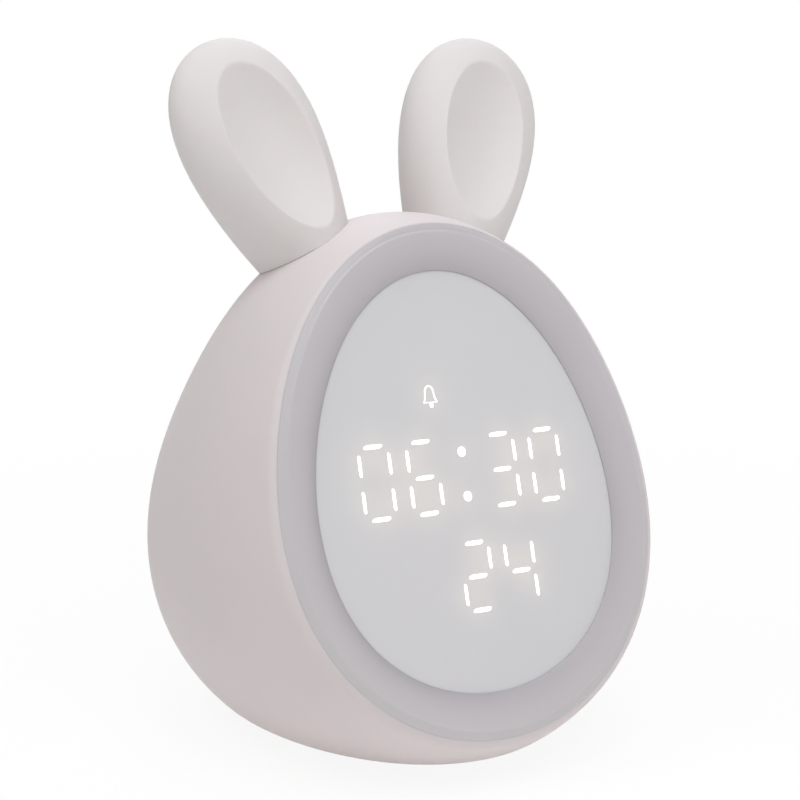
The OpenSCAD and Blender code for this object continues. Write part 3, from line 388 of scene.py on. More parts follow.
ring_out, brim_out = polar(FACE_OPEN - RING_GAP), polar(SKIN_OPEN - RING_GAP)
glass_edge = display_edge(ROUND_ANGLES)
roll = np.sin(np.linspace(math.pi / 2, 0, ROLL_ROWS))
ring_top = [face_point(mix(ring_out, glass_edge, q), (LIP_HEIGHT + RING_PROUD) * (1 - q) - dish_fall(q))
            for q in roll]
brim = [face_point(mix(ring_out, brim_out, t),
                   skin_height(mix(FACE_OPEN, SKIN_OPEN, t) - RING_GAP) - SKIN_IN)
        for t in np.linspace(1, BEAD / LIP, BRIM_ROWS)]
ring_under = [face_point(brim_out, SKIN_EDGE - BRIM_T + RING_GAP),
              face_point(ring_out, LIP_HEIGHT - BRIM_T + RING_GAP),
              face_point(ring_out, -RING_SEAT),
              face_point(display_edge(ROUND_ANGLES, SEAT_BAND + FENCE_W), -RING_SEAT),
              face_point(display_edge(ROUND_ANGLES, SEAT_BAND + FENCE_W), DISPLAY_TOP - FENCE_H),
              face_point(display_edge(ROUND_ANGLES, SEAT_BAND), DISPLAY_TOP - FENCE_H),
              face_point(display_edge(ROUND_ANGLES, SEAT_BAND), DISPLAY_TOP),
              face_point(glass_edge, DISPLAY_TOP)]
bead = soft_corner(ring_top[-3], ring_top[-1], brim[-1], RING_ROUND)
brim_edge = soft_corner(brim[1], brim[0], ring_under[0], FRONT_LIP_ROUND)
glow_ring = ring_mesh("glow_ring", ring_top[:-2] + bead + brim[:0:-1] + brim_edge + ring_under, loop=True)
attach(glow_ring, "clock")
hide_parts("face_ring")
print("ring faces:", len(glow_ring.data.polygons))

# %% [markdown]
# Shade is painted into the ring's colour. A little painted shade lies over all of it, and it is heaviest at
# the foot of the roll next to the display, though less so above and at the lower right; painted light makes
# the thin outer part brightest low down, where it faces the table. The share is kept with each vertex, so
# the finish can follow the shape without a texture.

# %% Painted shade on the ring
# Directions around the face that steer where shade and light are painted on the ring
ABOVE, LOW_RIGHT, TABLE_SIDE = 75, 315, 262  # degrees around the face
PLAIN_PAINTED_SHADE, FOOT_PAINTED_SHADE, FOOT_POWER, PAINTED_EDGE_LIGHT = 0.35, 0.65, 2.5, 0.2


def facing(degrees):
    """1 at that angle around the face, falling to 0 a quarter turn away from it."""
    return np.cos(ROUND_ANGLES - math.radians(degrees)).clip(0)


on_brim = np.zeros(len(bead) + len(brim) - 1 + len(brim_edge))
across_ring = np.concatenate([roll[:-2], on_brim, np.ones(len(ring_under))])[:, None]
# Painted shade at the foot of the roll, lighter above and at the lower right
foot_painted_shade = 1.0 - 0.75 * facing(ABOVE) - 0.4 * facing(LOW_RIGHT)
painted_shade = PLAIN_PAINTED_SHADE + FOOT_PAINTED_SHADE * across_ring**FOOT_POWER * foot_painted_shade
# Painted light: the outer part low down, which faces the table, is lightened
painted_shade -= PAINTED_EDGE_LIGHT * (1 - across_ring) ** 2 * facing(TABLE_SIDE) ** 2
painted_shade_kept = glow_ring.data.attributes.new("painted_shade", "FLOAT", "POINT")
painted_shade_kept.data.foreach_set("value", painted_shade.ravel().astype(np.float32))
print("ring dimmed from", round(float(painted_shade.min()), 2), "to", round(float(painted_shade.max()), 2))

# %% [markdown]
# ## Strokes of light
# The time, the date and the bell are lit from behind a milk-white plate. Each stroke of a
# seven-segment figure is a thin lozenge. They are flat pieces a hair above the plate, which keeps
# their edges crisp; painting them with a texture would blur them at this scale.

# %% Where the figures stand
DIGIT_W, DIGIT_H, DIGIT_RISE = 7.1, 15.6, 1.4
DATE_W, DATE_H, DATE_FALL = 6.8, 14.5, 21.1
CLOCK_X = (-20.95, -9.5, 9.75, 21.0)
DATE_X = (-0.4, 10.4)
DOT_PITCH, DOT_D, DOT_TALL = 9.8, 1.9, 1.15
DOTS_RIGHT, DOTS_RISE, DOTS_LEAN = 0.25, -0.15, 0.1
BELL_AT, BELL_PEN = (-5.3, 18.95), 0.27
CLAPPER_RIGHT, CLAPPER_FALL, CLAPPER_W, CLAPPER_H = 0.15, 2.0, 0.85, 1.2
# Each stroke's place, in widths across and half heights up, and whether it stands upright
STROKES = ((0, 1, 0), (0.5, 0.5, 1), (0.5, -0.5, 1), (0, -1, 0), (-0.5, -0.5, 1), (-0.5, 0.5, 1), (0, 0, 0))
LIT = {"0": (0, 1, 2, 3, 4, 5), "6": (0, 2, 3, 4, 5, 6), "3": (0, 1, 2, 3, 6), "2": (0, 1, 6, 4, 3),
       "4": (5, 6, 1, 2)}
STROKE_LONG, STROKE_THICK, LEAN_OF_FIGURES = (4.4, 4.7), (0.92, 0.68), 0.03
print("figures:", len(CLOCK_X) + len(DATE_X))

# %% [markdown]
# A stroke is drawn once, lying down, and then put wherever a figure needs it. A line such as the
# bell's is a ribbon of small quads, as from a pen, and round things are dots.

# %% Shapes of light
def lozenge(long, thick):
    """A stroke along X, whose ends taper to opposite corners. Its numbers count half thicknesses."""
    half, t = long / 2, thick / 2
    side = [(-half, -0.35 * t), (-half + 0.3 * t, 0.35 * t), (-half + 1.6 * t, 0.95 * t), (0, t),
            (half - 0.9 * t, 0.95 * t), (half - 0.15 * t, 0.7 * t)]
    return np.array(side + [(-x, -y) for x, y in side])


def digit_shapes(text, places, width, height, middle):
    """The lit strokes of a line of figures, as outlines on the face plane."""
    shapes = []
    for figure, x in zip(text, places):
        for number in LIT[figure]:
            sx, sy, upright = STROKES[number]
            shape = lozenge(STROKE_LONG[upright], STROKE_THICK[upright])
            if upright:
                shape = shape[:, ::-1] * (1, -1)
            shape = shape + (x + sx * width, middle + sy * height / 2)
            shape[:, 0] += LEAN_OF_FIGURES * (shape[:, 1] - middle)
            shapes.append(shape)
    return shapes


def ribbon(points, width, closed=False):
    """Quads that follow a line drawn with a pen of that width."""
    p = np.array(points, float)
    ahead = np.roll(p, -1, 0) - p
    behind = p - np.roll(p, 1, 0)
    if not closed:
        ahead[-1], behind[0] = behind[-1], ahead[0]
    tangent = unit(unit(ahead) + unit(behind))
    normal = np.stack([-tangent[:, 1], tangent[:, 0]], 1) * width / 2
    left, right = p + normal, p - normal
    quads = []
    for i in range(len(p) if closed else len(p) - 1):
        following = (i + 1) % len(p)
        quads.append(np.array([left[i], right[i], right[following], left[following]]))
    return quads


def dot(x, y, wide, high, points=20):
    """The outline of a round or oval dot."""
    a = np.arange(points) * 2 * math.pi / points
    return np.stack([x + wide / 2 * np.cos(a), y + high / 2 * np.sin(a)], 1)


print("points around a stroke:", len(lozenge(STROKE_LONG[0], STROKE_THICK[0])))

# %% [markdown]
# The shapes become thin plates. Each plate starts inside the display and ends a hair above it, so
# that it never flickers against the surface around it.

# %% Lit strokes
BELL = [(0, 2.35), (0.62, 2.0), (1.0, 1.35), (1.08, 0.4), (1.2, -0.5), (1.65, -1.35),
        (-1.65, -1.35), (-1.2, -0.5), (-1.08, 0.4), (-1.0, 1.35), (-0.62, 2.0)]
bell_line = np.array(BELL) + BELL_AT
strokes = digit_shapes("0630", CLOCK_X, DIGIT_W, DIGIT_H, DIGIT_RISE)
strokes += digit_shapes("24", DATE_X, DATE_W, DATE_H, -DATE_FALL)
dots = [dot(DOTS_RIGHT + s * DOTS_LEAN, DIGIT_RISE + DOTS_RISE + s * DOT_PITCH / 2, DOT_D, DOT_D * DOT_TALL)
        for s in (-1, 1)]
clapper = dot(BELL_AT[0] + CLAPPER_RIGHT, BELL_AT[1] - CLAPPER_FALL, CLAPPER_W, CLAPPER_H)
bell = ribbon(bell_line, BELL_PEN, closed=True) + [clapper]


def flat_pieces(name, shapes, place, low, high):
    """Thin plates from closed outlines; place() puts a flat point at a height."""
    verts, faces = [], []
    for shape in shapes:
        n, k = len(verts), len(shape)
        verts += [*place(shape, low), *place(shape, high)]
        faces += [tuple(range(n, n + k)), tuple(range(n + k, n + 2 * k))]
        faces += [(n + i, n + (i + 1) % k, n + k + (i + 1) % k, n + k + i) for i in range(k)]
    mesh = bpy.data.meshes.new(name)
    mesh.from_pydata((np.array(verts) * MM).tolist(), [], faces)
    obj = mesh_object(name, mesh)
    mesh.shade_flat()
    return obj


LIGHT_LIFT, LIGHT_THICK = 0.06, 0.05
light_heights = (DISPLAY_TOP - LIGHT_THICK, DISPLAY_TOP + LIGHT_LIFT)
lit_time = flat_pieces("lit_time", strokes + dots, face_point, *light_heights)
lit_bell = flat_pieces("lit_bell", bell, face_point, *light_heights)
for piece in (lit_time, lit_bell):
    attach(piece, "clock")
print("lit strokes:", len(strokes), "dots:", len(dots))

# %% [markdown]
# ## The display plate
# The plate is milk-white acrylic. Around every lit stroke a little light spreads inside it.
# That spread depends on the distance to the nearest strokes, so it is worked out once for each
# vertex of a fine plate and kept as an attribute, which a material can read.

# %% Display plate
PLATE_T, PLATE_LAP, PLATE_ROWS = 2.0, 2.7, 150
SPREAD, BELL_GLOW = 4.5, 0.12  # how far the light of a stroke spreads, and how much the bell gives


def plate_ring(share):
    """The plate's outline, drawn smaller by that share around its middle."""
    edge = display_edge(ROUND_ANGLES, PLATE_LAP) - (0, RISE)
    return edge * share + (0, RISE)


plate_rings = [face_point(plate_ring(s), DISPLAY_TOP) for s in np.linspace(1 / PLATE_ROWS, 1, PLATE_ROWS)]
middle = face_point(np.array([[0, RISE]]), DISPLAY_TOP)[0]
under = face_point(plate_ring(1.0), DISPLAY_TOP - PLATE_T)
milk_plate = ring_mesh("milk_plate", plate_rings + [under], start=middle, end=middle - PLATE_T * FACE_N)

centres = np.array([s.mean(0) for s in strokes + dots + bell])
weights = np.array([1.0] * len(strokes + dots) + [BELL_GLOW] * len(bell))
verts = np.array([v.co for v in milk_plate.data.vertices]) / MM - FACE_CENTRE
flat = np.stack([verts @ ACROSS, verts @ FACE_V], 1)
distance = np.linalg.norm(flat[:, None] - centres[None], axis=-1)
spread = (np.exp(-(distance / SPREAD) ** 2) * weights).sum(1)
spread_kept = milk_plate.data.attributes.new("spread", "FLOAT", "POINT")
spread_kept.data.foreach_set("value", (spread / spread.max()).astype(np.float32))
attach(milk_plate, "clock")
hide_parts("display_plate")
print("plate faces:", len(milk_plate.data.polygons))

# %% [markdown]
# ## The ears
# Each ear is a bent, slightly flattened egg with a dish in its front. Cutting the dish with a
# boolean gives a ragged rim, so the mesh is laid out around the dish instead: a bowl inside the
# outline, then rings that spread from the outline over the tip and the back, down to the line
# where the ear meets the body. The rim is then a ring of its own, with a small round.

# %% Ear surface
EAR = dict(w=28.6, l=79.2, front=13.8, back=15.2, taper=0.74, front_thin=0.08, back_thin=0.2, bend=2.8)
SPLAY, LEAN = math.radians(19.5), math.radians(22.6)
EAR_MIDDLE = CORE + np.array([23.3, 10.7, 70.2])
EAR_AXIS = np.array([math.sin(SPLAY) * math.cos(LEAN), math.sin(LEAN), math.cos(SPLAY) * math.cos(LEAN)])
EAR_WIDE = unit(np.cross(EAR_AXIS, [0, -math.cos(LEAN), math.sin(LEAN)]))
EAR_FRONT = np.cross(EAR_WIDE, EAR_AXIS)
EAR_GAP = 0.06
EAR_COLUMNS = 160
EAR_ANGLES = np.arange(EAR_COLUMNS) * 2 * math.pi / EAR_COLUMNS
EAR_END, EAR_FAR = 0.9999, 90.0  # just short of the tip, and further than any point of the ear


def ear_half_w(s):
    """Half width at s, which runs from -1 at the root to 1 at the tip."""
    return EAR["w"] / 2 * np.sqrt(1 - s**2) * (1 + EAR["taper"] * s)


def ear_depth(s, front):
    """Depth in front of the middle, or behind it."""
    thick = EAR["front"] * (1 - EAR["front_thin"] * s) if front else EAR["back"] * (1 - EAR["back_thin"] * s)
    return np.sqrt(1 - s**2) * thick


def ear_place(local):
    """A point of the ear's own axes, wide, front and along, put on the clock."""
    return EAR_MIDDLE + local @ np.stack([EAR_WIDE, EAR_FRONT, EAR_AXIS])


def in_ear(local):
    """True inside the bent egg of the ear."""
    s = np.clip(2 * local[..., 2] / EAR["l"], -EAR_END, EAR_END)
    front = local[..., 1] - EAR["bend"] * s**2
    depth = np.where(front > 0, ear_depth(s, True), ear_depth(s, False))
    within = (local[..., 0] / ear_half_w(s)) ** 2 + (front / depth) ** 2 < 1
    return within & (np.abs(local[..., 2]) < EAR["l"] / 2)


def ear_surface(d, centre):
    """Where the rays from an inner point along the directions d leave the ear."""
    def inside(r):
        return in_ear(centre + r[..., None] * d)
    reach = bisect(inside, np.zeros(d.shape[:-1]), np.full(d.shape[:-1], EAR_FAR))
    return centre + reach[..., None] * d


print("ear half width at its middle in mm:", ear_half_w(0.0))

# %% [markdown]
# The dish has an egg-shaped outline of its own and sinks below the ear's surface, so its rim lies
# exactly on that surface. The foot of the ear is found the same way as the rims before: by halving
# a step until the point is a hair above the body.

# %% Dish and foot of the ear
DISH = dict(w=19.8, l=42.4, along=10.0, taper=0.12, deep=6.0, power=2.2)
ROOT_LOW, ROOT_HIGH = math.radians(-75), math.radians(30)  # the foot lies between these, along the ear


def dish_point(share, sink):
    """Points of the dish's outline, drawn to that share and sunk below the ear's own surface."""
    x = share * DISH["w"] / 2 * np.cos(EAR_ANGLES) * (1 + DISH["taper"] * np.sin(EAR_ANGLES))
    along = DISH["along"] + share * DISH["l"] / 2 * np.sin(EAR_ANGLES)
    s = 2 * along / EAR["l"]
    front = ear_depth(s, True) * np.sqrt(np.maximum(0, 1 - (x / ear_half_w(s)) ** 2)) + EAR["bend"] * s**2
    return np.stack([x, front - sink, along], axis=-1)


def ear_foot():
    """The ring where the egg of the ear meets the body, its front under the dish's lower end."""
    angle = -EAR_ANGLES

    def point(p):
        s, side = np.sin(p), np.sin(angle)
        front = np.where(side > 0, ear_depth(s, True), ear_depth(s, False)) * side + EAR["bend"] * s**2
        return np.stack([ear_half_w(s) * np.cos(angle), front, EAR["l"] / 2 * s], axis=-1)

    def buried(p):
        q = ear_place(point(p)) - CORE
        return np.linalg.norm(q, axis=-1) < body_reach(unit(q)) + EAR_GAP
    return point(bisect(buried, np.full(EAR_COLUMNS, ROOT_LOW), np.full(EAR_COLUMNS, ROOT_HIGH)))


def bowl_ring(share):
    """A ring of the dish's floor, which is deepest in its middle."""
    return dish_point(share, DISH["deep"] * (1 - share ** DISH["power"]))


foot = ear_foot()
print("the foot lies, along the ear, from", round(foot[:, 2].min(), 1), "to", round(foot[:, 2].max(), 1))

# %% [markdown]
# From the rim to the foot the rings fan out from a point inside the ear. Between the two they pass
# its widest part, more so above the dish than below it, which keeps the quads even.

# %% Ear rings
RIM_SHARE, BOWL_START = 0.026, 0.03
BOWL_ROWS, RIM_ROWS, COAT_ROWS = 30, 6, 90
EAR_CENTRE = np.array([0.0, 0.0, 8.0])
BELT_BACK, BELT_FOOT, BELT_RISE = -0.1, 0.15, 0.8
bowl = [bowl_ring(s) for s in np.linspace(BOWL_START, 1 - RIM_SHARE, BOWL_ROWS)]
start, corner, end = bowl[-1], dish_point(1.0, 0), dish_point(1 + RIM_SHARE, 0)
rim = [mix(mix(start, corner, t), mix(corner, end, t), t) for t in np.linspace(0, 1, RIM_ROWS + 1)[1:]]
way_rim, way_foot = unit(rim[-1] - EAR_CENTRE), unit(foot - EAR_CENTRE)
lift = ((1 + np.sin(EAR_ANGLES)) / 2)[:, None]
belt = np.stack([np.cos(EAR_ANGLES), np.full(EAR_COLUMNS, BELT_BACK), np.sin(EAR_ANGLES)], axis=-1)
way_belt = unit(mix(unit(way_rim + way_foot), unit(belt), BELT_FOOT + BELT_RISE * lift))
coat = []
for t in np.linspace(0, 1, COAT_ROWS + 1)[1:]:
    d = unit((1 - t) ** 2 * way_rim + 2 * t * (1 - t) * way_belt + t**2 * way_foot)
    coat.append(ear_surface(d, EAR_CENTRE))
coat[-1] = foot
print("ear rings:", len(bowl), "+", len(coat))

# %% [markdown]
# The ears are a pair from two moulds that mirror each other, so one set of rings serves both. The
# mirror could be a modifier, but a function that flips one axis leaves two plain meshes.

# %% Build both ears
FOOT_ROUND, FOOT_SHARES = 0.15, (0.4, 0.8)
foot_round = soft_corner(coat[-3], foot, mix(foot, foot.mean(0), FOOT_SHARES[0]), FOOT_ROUND)
inner_foot = [mix(foot, foot.mean(0), t) for t in FOOT_SHARES]
ear_rings = bowl + rim + coat[:-2] + foot_round + inner_foot


def build_ear(name, mirrored):
    """One ear: bowl, rim, coat and foot in a single skin, closed at both ends."""
    def place(local):
        return ear_place(local) * (-1 if mirrored else 1, 1, 1)
    return ring_mesh(name, [place(r) for r in ear_rings],
                     start=place(bowl_ring(0.0)[0]),
                     end=place(foot.mean(0)))


left_ear_skin, right_ear_skin = build_ear("left_ear_skin", True), build_ear("right_ear_skin", False)
for piece, node_name in ((left_ear_skin, "left_ear"), (right_ear_skin, "right_ear")):
    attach(piece, "clock")
    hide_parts(node_name)
print("ear faces:", len(left_ear_skin.data.polygons))

# %% [markdown]
# ## The back
# Keys, alarm switch, charging socket and speaker all sit behind the rear cover, so it is mostly a
# matter of holes. Their places are kept by name here, because the keys and the knob need them too.

# %% What goes through the cover
FIRST_ROW, BUTTON_PITCH, ROW_PITCH = -8.0, 15.0, 12.6
SECOND_ROW = FIRST_ROW - ROW_PITCH
BUTTON_R, BUTTON_GAP, BUTTON_PROUD = 4.75, 0.25, 1.2
KEYS = {"set": (0, FIRST_ROW), "plus": (-BUTTON_PITCH, FIRST_ROW), "minus": (BUTTON_PITCH, FIRST_ROW),
        "alarm": (-BUTTON_PITCH, SECOND_ROW), "light": (0, SECOND_ROW)}
KNOB_AT, KNOB_W, KNOB_H, KNOB_TRAVEL, KNOB_GAP = (BUTTON_PITCH, SECOND_ROW), 5.0, 3.0, 2.5, 0.3
USB_AT, USB_W, USB_H, USB_GAP = (0, -28.5), 8.94, 3.26, 0.25
SPEAKER_DROP = 19.5
SPEAKER_AT, HOLE_R, HOLE_POINTS = (0, COVER_H / 2 - COVER_FALL - SPEAKER_DROP), 1.0, 24
GRILLE = ((0, 1), (4.2, 6), (8.2, 12))  # radius of each ring of holes, and how many it has
SCREW_ANGLES, SCREW_IN, SCREW_R = np.radians([35, 145, 215, 325]), 5.2, 3.2
COVER_GAP, SLOT_END_POINTS = 0.2, 24


def circle(x, y, r, points=64):
    """The outline of a round hole."""
    return dot(x, y, 2 * r, 2 * r, points)


def slot_outline(x, y, wide, high):
    """The outline of a slot with round ends."""
    a = np.linspace(-math.pi / 2, math.pi / 2, SLOT_END_POINTS)
    right = np.stack([(wide - high) / 2 + high / 2 * np.cos(a), high / 2 * np.sin(a)], 1)
    return np.concatenate([right, -right]) + (x, y)


screw_places = [cover_edge(np.array([a]), -SCREW_IN)[0] for a in SCREW_ANGLES]
outlines = [cover_edge(ROUND_ANGLES, -COVER_GAP)]
outlines += [circle(x, y, SCREW_R) for x, y in screw_places]
outlines += [circle(x, y, BUTTON_R + BUTTON_GAP) for x, y in KEYS.values()]
outlines += [slot_outline(*USB_AT, USB_W + 2 * USB_GAP, USB_H + 2 * USB_GAP),
             slot_outline(*KNOB_AT, KNOB_W + KNOB_TRAVEL + 2 * KNOB_GAP, KNOB_H + 2 * KNOB_GAP)]
for ring_r, count in GRILLE:
    outlines += [circle(SPEAKER_AT[0] + ring_r * math.cos(2 * math.pi * k / count),
                        SPEAKER_AT[1] + ring_r * math.sin(2 * math.pi * k / count), HOLE_R, HOLE_POINTS)
                 for k in range(1, count + 1)]
print("holes in the cover:", len(outlines) - 1)

# %% [markdown]
# The cover is a flat plate with rounded edges around every hole. A filled 2D curve makes such a
# plate in one go: one outline, one closed spline for each hole, a little extrusion and a bevel.
# It is turned into a mesh afterwards and laid on the rear of the clock.

# %% Rear cover
EDGE_ROUND = 0.3
REAR_Y = CORE[1] + REAR_REACH - COVER_INSET
WELD_METRES = 1e-6
SHARP_EDGE = math.radians(12)  # keeps the flat front flat and the holes round


def curve_plate(name, outlines, low, high, rounding):
    """A flat plate with holes, from closed outlines, between two depths of the rear frame."""
    curve = bpy.data.curves.new(name, "CURVE")
    curve.dimensions, curve.fill_mode = "2D", "BOTH"
    curve.extrude = ((high - low) / 2 - rounding) * MM
    curve.bevel_depth, curve.bevel_resolution, curve.offset = rounding * MM, 2, -rounding * MM
    for outline_points in outlines:
        spline = curve.splines.new("POLY")
        spline.points.add(len(outline_points) - 1)
        spline.points.foreach_set("co", np.c_[outline_points * MM, np.zeros(len(outline_points)),
                                              np.ones(len(outline_points))].ravel())
        spline.use_cyclic_u = True
    draft = bpy.data.objects.new(name + "_draft", curve)
    bpy.context.collection.objects.link(draft)
    mesh = bpy.data.meshes.new_from_object(draft.evaluated_get(bpy.context.evaluated_depsgraph_get()))
    bpy.data.objects.remove(draft)
    mesh.transform(Matrix.Translation((0, 0, (low + high) / 2 * MM)))
    mesh.transform(Matrix.Translation((0, REAR_Y * MM, CORE[2] * MM)) @ Matrix.Rotation(math.pi / 2, 4, "X"))
    work = bmesh.new()
    work.from_mesh(mesh)
    bmesh.ops.remove_doubles(work, verts=work.verts, dist=WELD_METRES)
    bmesh.ops.recalc_face_normals(work, faces=work.faces)
    work.to_mesh(mesh)
    work.free()
    obj = bpy.data.objects.new(name, mesh)
    bpy.context.collection.objects.link(obj)
    mesh.shade_smooth()
    mesh.set_sharp_from_angle(angle=SHARP_EDGE)
    return obj


back_plate = curve_plate("back_plate", outlines, 0, COVER_T, EDGE_ROUND)
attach(back_plate, "clock")
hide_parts("rear_cover")
print("cover faces:", len(back_plate.data.polygons))

# %% [markdown]
# ## Keys
# The five keys are turned shapes with a dished top, so each is a lathe profile. Behind the cover a
# flange keeps the key from falling out, and its stem reaches in to the plunger of a switch.

# %% Shape of a key
FLANGE_W, FLANGE_T, FLANGE_GAP, STEM_R = 0.8, 1.0, 0.1, 2.0
BOARD_BEHIND, SWITCH_H, PLUNGER_PROUD = 8.0, 3.6, 1.5
PLUNGER_Z = COVER_T + BOARD_BEHIND - SWITCH_H - PLUNGER_PROUD
CROWN_R, CROWN_START, KEY_DISH = 0.8, 0.2, 0.35
CORNER_RING = 0.05  # one more ring that close to a corner keeps the shading next to it clean
KEY_COLUMNS, TOP_ROWS, CROWN_ROWS = 64, 12, 7
KEY_ANGLES = np.arange(KEY_COLUMNS) * 2 * math.pi / KEY_COLUMNS


def back_point(xy, depth):
    """A point on the outside of the cover: across, up from the core, and inwards."""
    return rear_point(xy, np.asarray(depth) + COVER_INSET)


def lathe(name, centre, profile):
    """A turned piece on the rear, from a profile of radii and depths that starts and ends at its axis."""
    rings = [back_point(polar(r, KEY_ANGLES) + centre, z) for r, z in profile[1:-1]]
    return ring_mesh(name, rings, start=back_point(np.array([centre], float), profile[0][1])[0],
                     end=back_point(np.array([centre], float), profile[-1][1])[0])


def key_profile():
    """Dished top, rounded crown, side, the flange behind the cover and the stem."""
    flat_r = BUTTON_R - CROWN_R
    top = [(r, -BUTTON_PROUD + KEY_DISH * (1 - (r / flat_r) ** 2)) for r in np.linspace(0, flat_r, TOP_ROWS)]
    crown = [(flat_r + CROWN_R * math.sin(a), -BUTTON_PROUD + CROWN_R * (1 - math.cos(a)))
             for a in np.linspace(CROWN_START, math.pi / 2, CROWN_ROWS)]
    base = COVER_T + FLANGE_GAP
    wide = BUTTON_R + FLANGE_W
    return top + crown + [(BUTTON_R, base - CORNER_RING), (BUTTON_R, base), (wide, base),
                          (wide, base + FLANGE_T), (STEM_R, base + FLANGE_T), (STEM_R, PLUNGER_Z),
                          (0, PLUNGER_Z)]


print("rings in a key:", len(key_profile()) - 2)

# %% [markdown]
# The marks on the keys are raised lines: a ring to set, plus, minus, a bell and a lamp. They are
# narrow ribbons with some thickness that sit in the dish and move with their key.

# %% Keys and their marks
MARK_R, MARK_H, MARK_SUNK, PEN, BELL_SCALE = 1.5, 0.2, 0.05, 0.42, 0.8
FINE_PEN = PEN * 0.8
KEY_SHARP = math.radians(50)
ring_line = [(MARK_R * math.cos(a), MARK_R * math.sin(a)) for a in np.linspace(0, 2 * math.pi, 33)[:-1]]
bar_line = [(-MARK_R, 0), (MARK_R, 0)]
bulb_line = [(0.55, -0.75), (0.6, -0.2), (1.15, 0.45), (1.2, 1.0), (0.75, 1.6), (0, 1.85), (-0.75, 1.6),
             (-1.2, 1.0), (-1.15, 0.45), (-0.6, -0.2), (-0.55, -0.75)]
MARKS = {"set": ribbon(ring_line, PEN, closed=True),
         "plus": (ribbon(bar_line, PEN) + ribbon([(0, 0.25), (0, MARK_R)], PEN)
                  + ribbon([(0, -MARK_R), (0, -0.25)], PEN)),
         "minus": ribbon(bar_line, PEN),
         "alarm": (ribbon(np.array(BELL) * BELL_SCALE, FINE_PEN, closed=True)
                   + [dot(0, -1.62, 0.7, 0.55)]),
         "light": ribbon(bulb_line, FINE_PEN) + ribbon([(-0.5, -1.2), (0.5, -1.2)], FINE_PEN)}
for key, place in KEYS.items():
    cap = lathe("key_" + key, place, key_profile())
    cap.data.set_sharp_from_angle(angle=KEY_SHARP)
    mirrored_marks = [m * (-1, 1) + place for m in MARKS[key]]
    mark = flat_pieces("mark_" + key, mirrored_marks, back_point, -BUTTON_PROUD + KEY_DISH - MARK_SUNK,
                       -BUTTON_PROUD + KEY_DISH - MARK_H)
    for piece in (cap, mark):
        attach(piece, key + "_key")
    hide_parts(key + "_button")
print("keys:", ", ".join(KEYS))

# %% [markdown]
# The alarm switch has a small ribbed knob. Its ribs are what a finger pushes against, so they are
# real ridges: the knob is a stack of slot-shaped outlines, and thin bars stand on its top.

# %% Alarm switch knob
KNOB_PROUD, KNOB_TOP, KNOB_PLATE_T, KNOB_PLATE_GROW = 0.8, -0.45, 1.0, 1.2
RIB_HALF_W, RIB_HALF_H, RIB_PITCH, RIB_ROOT = 0.22, 1.05, 0.65, -0.4
rest_knob = np.array([KNOB_AT[0] - KNOB_TRAVEL / 2, KNOB_AT[1]])
low_plate, high_plate = COVER_T + FLANGE_GAP, COVER_T + FLANGE_GAP + KNOB_PLATE_T
knob_rings = []
# How much each outline grows, and how deep it lies: top, rounded edge, side, and the plate behind
for grow, depth in ((-1.2, KNOB_TOP), (-0.3, KNOB_TOP), (-0.08, -0.38), (0, -0.2), (0, low_plate),
                    (KNOB_PLATE_GROW, low_plate), (KNOB_PLATE_GROW, high_plate), (-1.2, high_plate)):
    knob_rings.append(back_point(slot_outline(*rest_knob, KNOB_W + 2 * grow, KNOB_H + 2 * grow), depth))
knob = ring_mesh("switch_knob", knob_rings, start=back_point(rest_knob[None], KNOB_TOP)[0],
                 end=back_point(rest_knob[None], high_plate)[0])
knob.data.set_sharp_from_angle(angle=KEY_SHARP)
rib = np.array([(-RIB_HALF_W, -RIB_HALF_H), (RIB_HALF_W, -RIB_HALF_H),
                (RIB_HALF_W, RIB_HALF_H), (-RIB_HALF_W, RIB_HALF_H)])
ribs = [rib + rest_knob + (k * RIB_PITCH, 0) for k in (-2, -1, 0, 1, 2)]
knob_ribs = flat_pieces("switch_knob_ribs", ribs, back_point, RIB_ROOT, -KNOB_PROUD)
for piece in (knob, knob_ribs):
    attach(piece, "alarm_switch")
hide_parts("alarm_switch_knob")
print("knob ribs:", len(ribs))

# %% [markdown]
# ## The foot
# The rubber ring under the base takes the weight. Its edges are round, as on any moulded pad, so
# that it doesn't catch when the clock is turned.

# %% Foot pad
PAD_R, PAD_HOLE_R, PAD_H, PAD_ROUND = 21.9, 13.1, 1.8, 0.4


def pad_ring(radius, height):
    """A level circle around the clock's upright middle line."""
    return np.array([CORE[0], CORE[1], 0]) + np.stack(
        [radius * np.cos(ROUND_ANGLES), radius * np.sin(ROUND_ANGLES), np.full(COLUMNS, height)], axis=-1)


corners = [pad_ring(PAD_HOLE_R, PAD_H), pad_ring(PAD_R, PAD_H), pad_ring(PAD_R, 0), pad_ring(PAD_HOLE_R, 0)]
pad_rings = []
for k in range(4):
    pad_rings += soft_corner(corners[k - 1], corners[k], corners[(k + 1) % 4], PAD_ROUND)
rubber_ring = ring_mesh("rubber_ring", pad_rings, loop=True)
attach(rubber_ring, "clock")
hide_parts("foot_pad")
print("foot pad across in mm:", 2 * PAD_R)

# %% [markdown]
# ## Materials
# Each finish starts from what the real one is and from the usual refraction and roughness of
# that stuff. Small helpers serve them all: one turns a hex colour into the linear numbers that
# shaders count in, one adds a node with its settings and links, and two build what most finishes
# share, a fine grain and a slow drift of colour.

# %% Helpers for materials
def colour(hex_code):
    """An sRGB hex colour as the linear numbers of a shader."""
    channels = [int(hex_code[i:i + 2], 16) / 255 for i in (1, 3, 5)]
    return (*[c / 12.92 if c <= 0.04045 else ((c + 0.055) / 1.055) ** 2.4 for c in channels], 1.0)


def add(tree, kind, inputs=None, **settings):
    """A node with its settings. An input is a value, or the socket that it is linked to."""
    made = tree.nodes.new("ShaderNode" + kind)
    for name, value in settings.items():
        setattr(made, name, value)
    for name, value in (inputs or {}).items():
        if isinstance(value, bpy.types.NodeSocket):
            tree.links.new(value, made.inputs[name])
        else:
            made.inputs[name].default_value = value
    return made


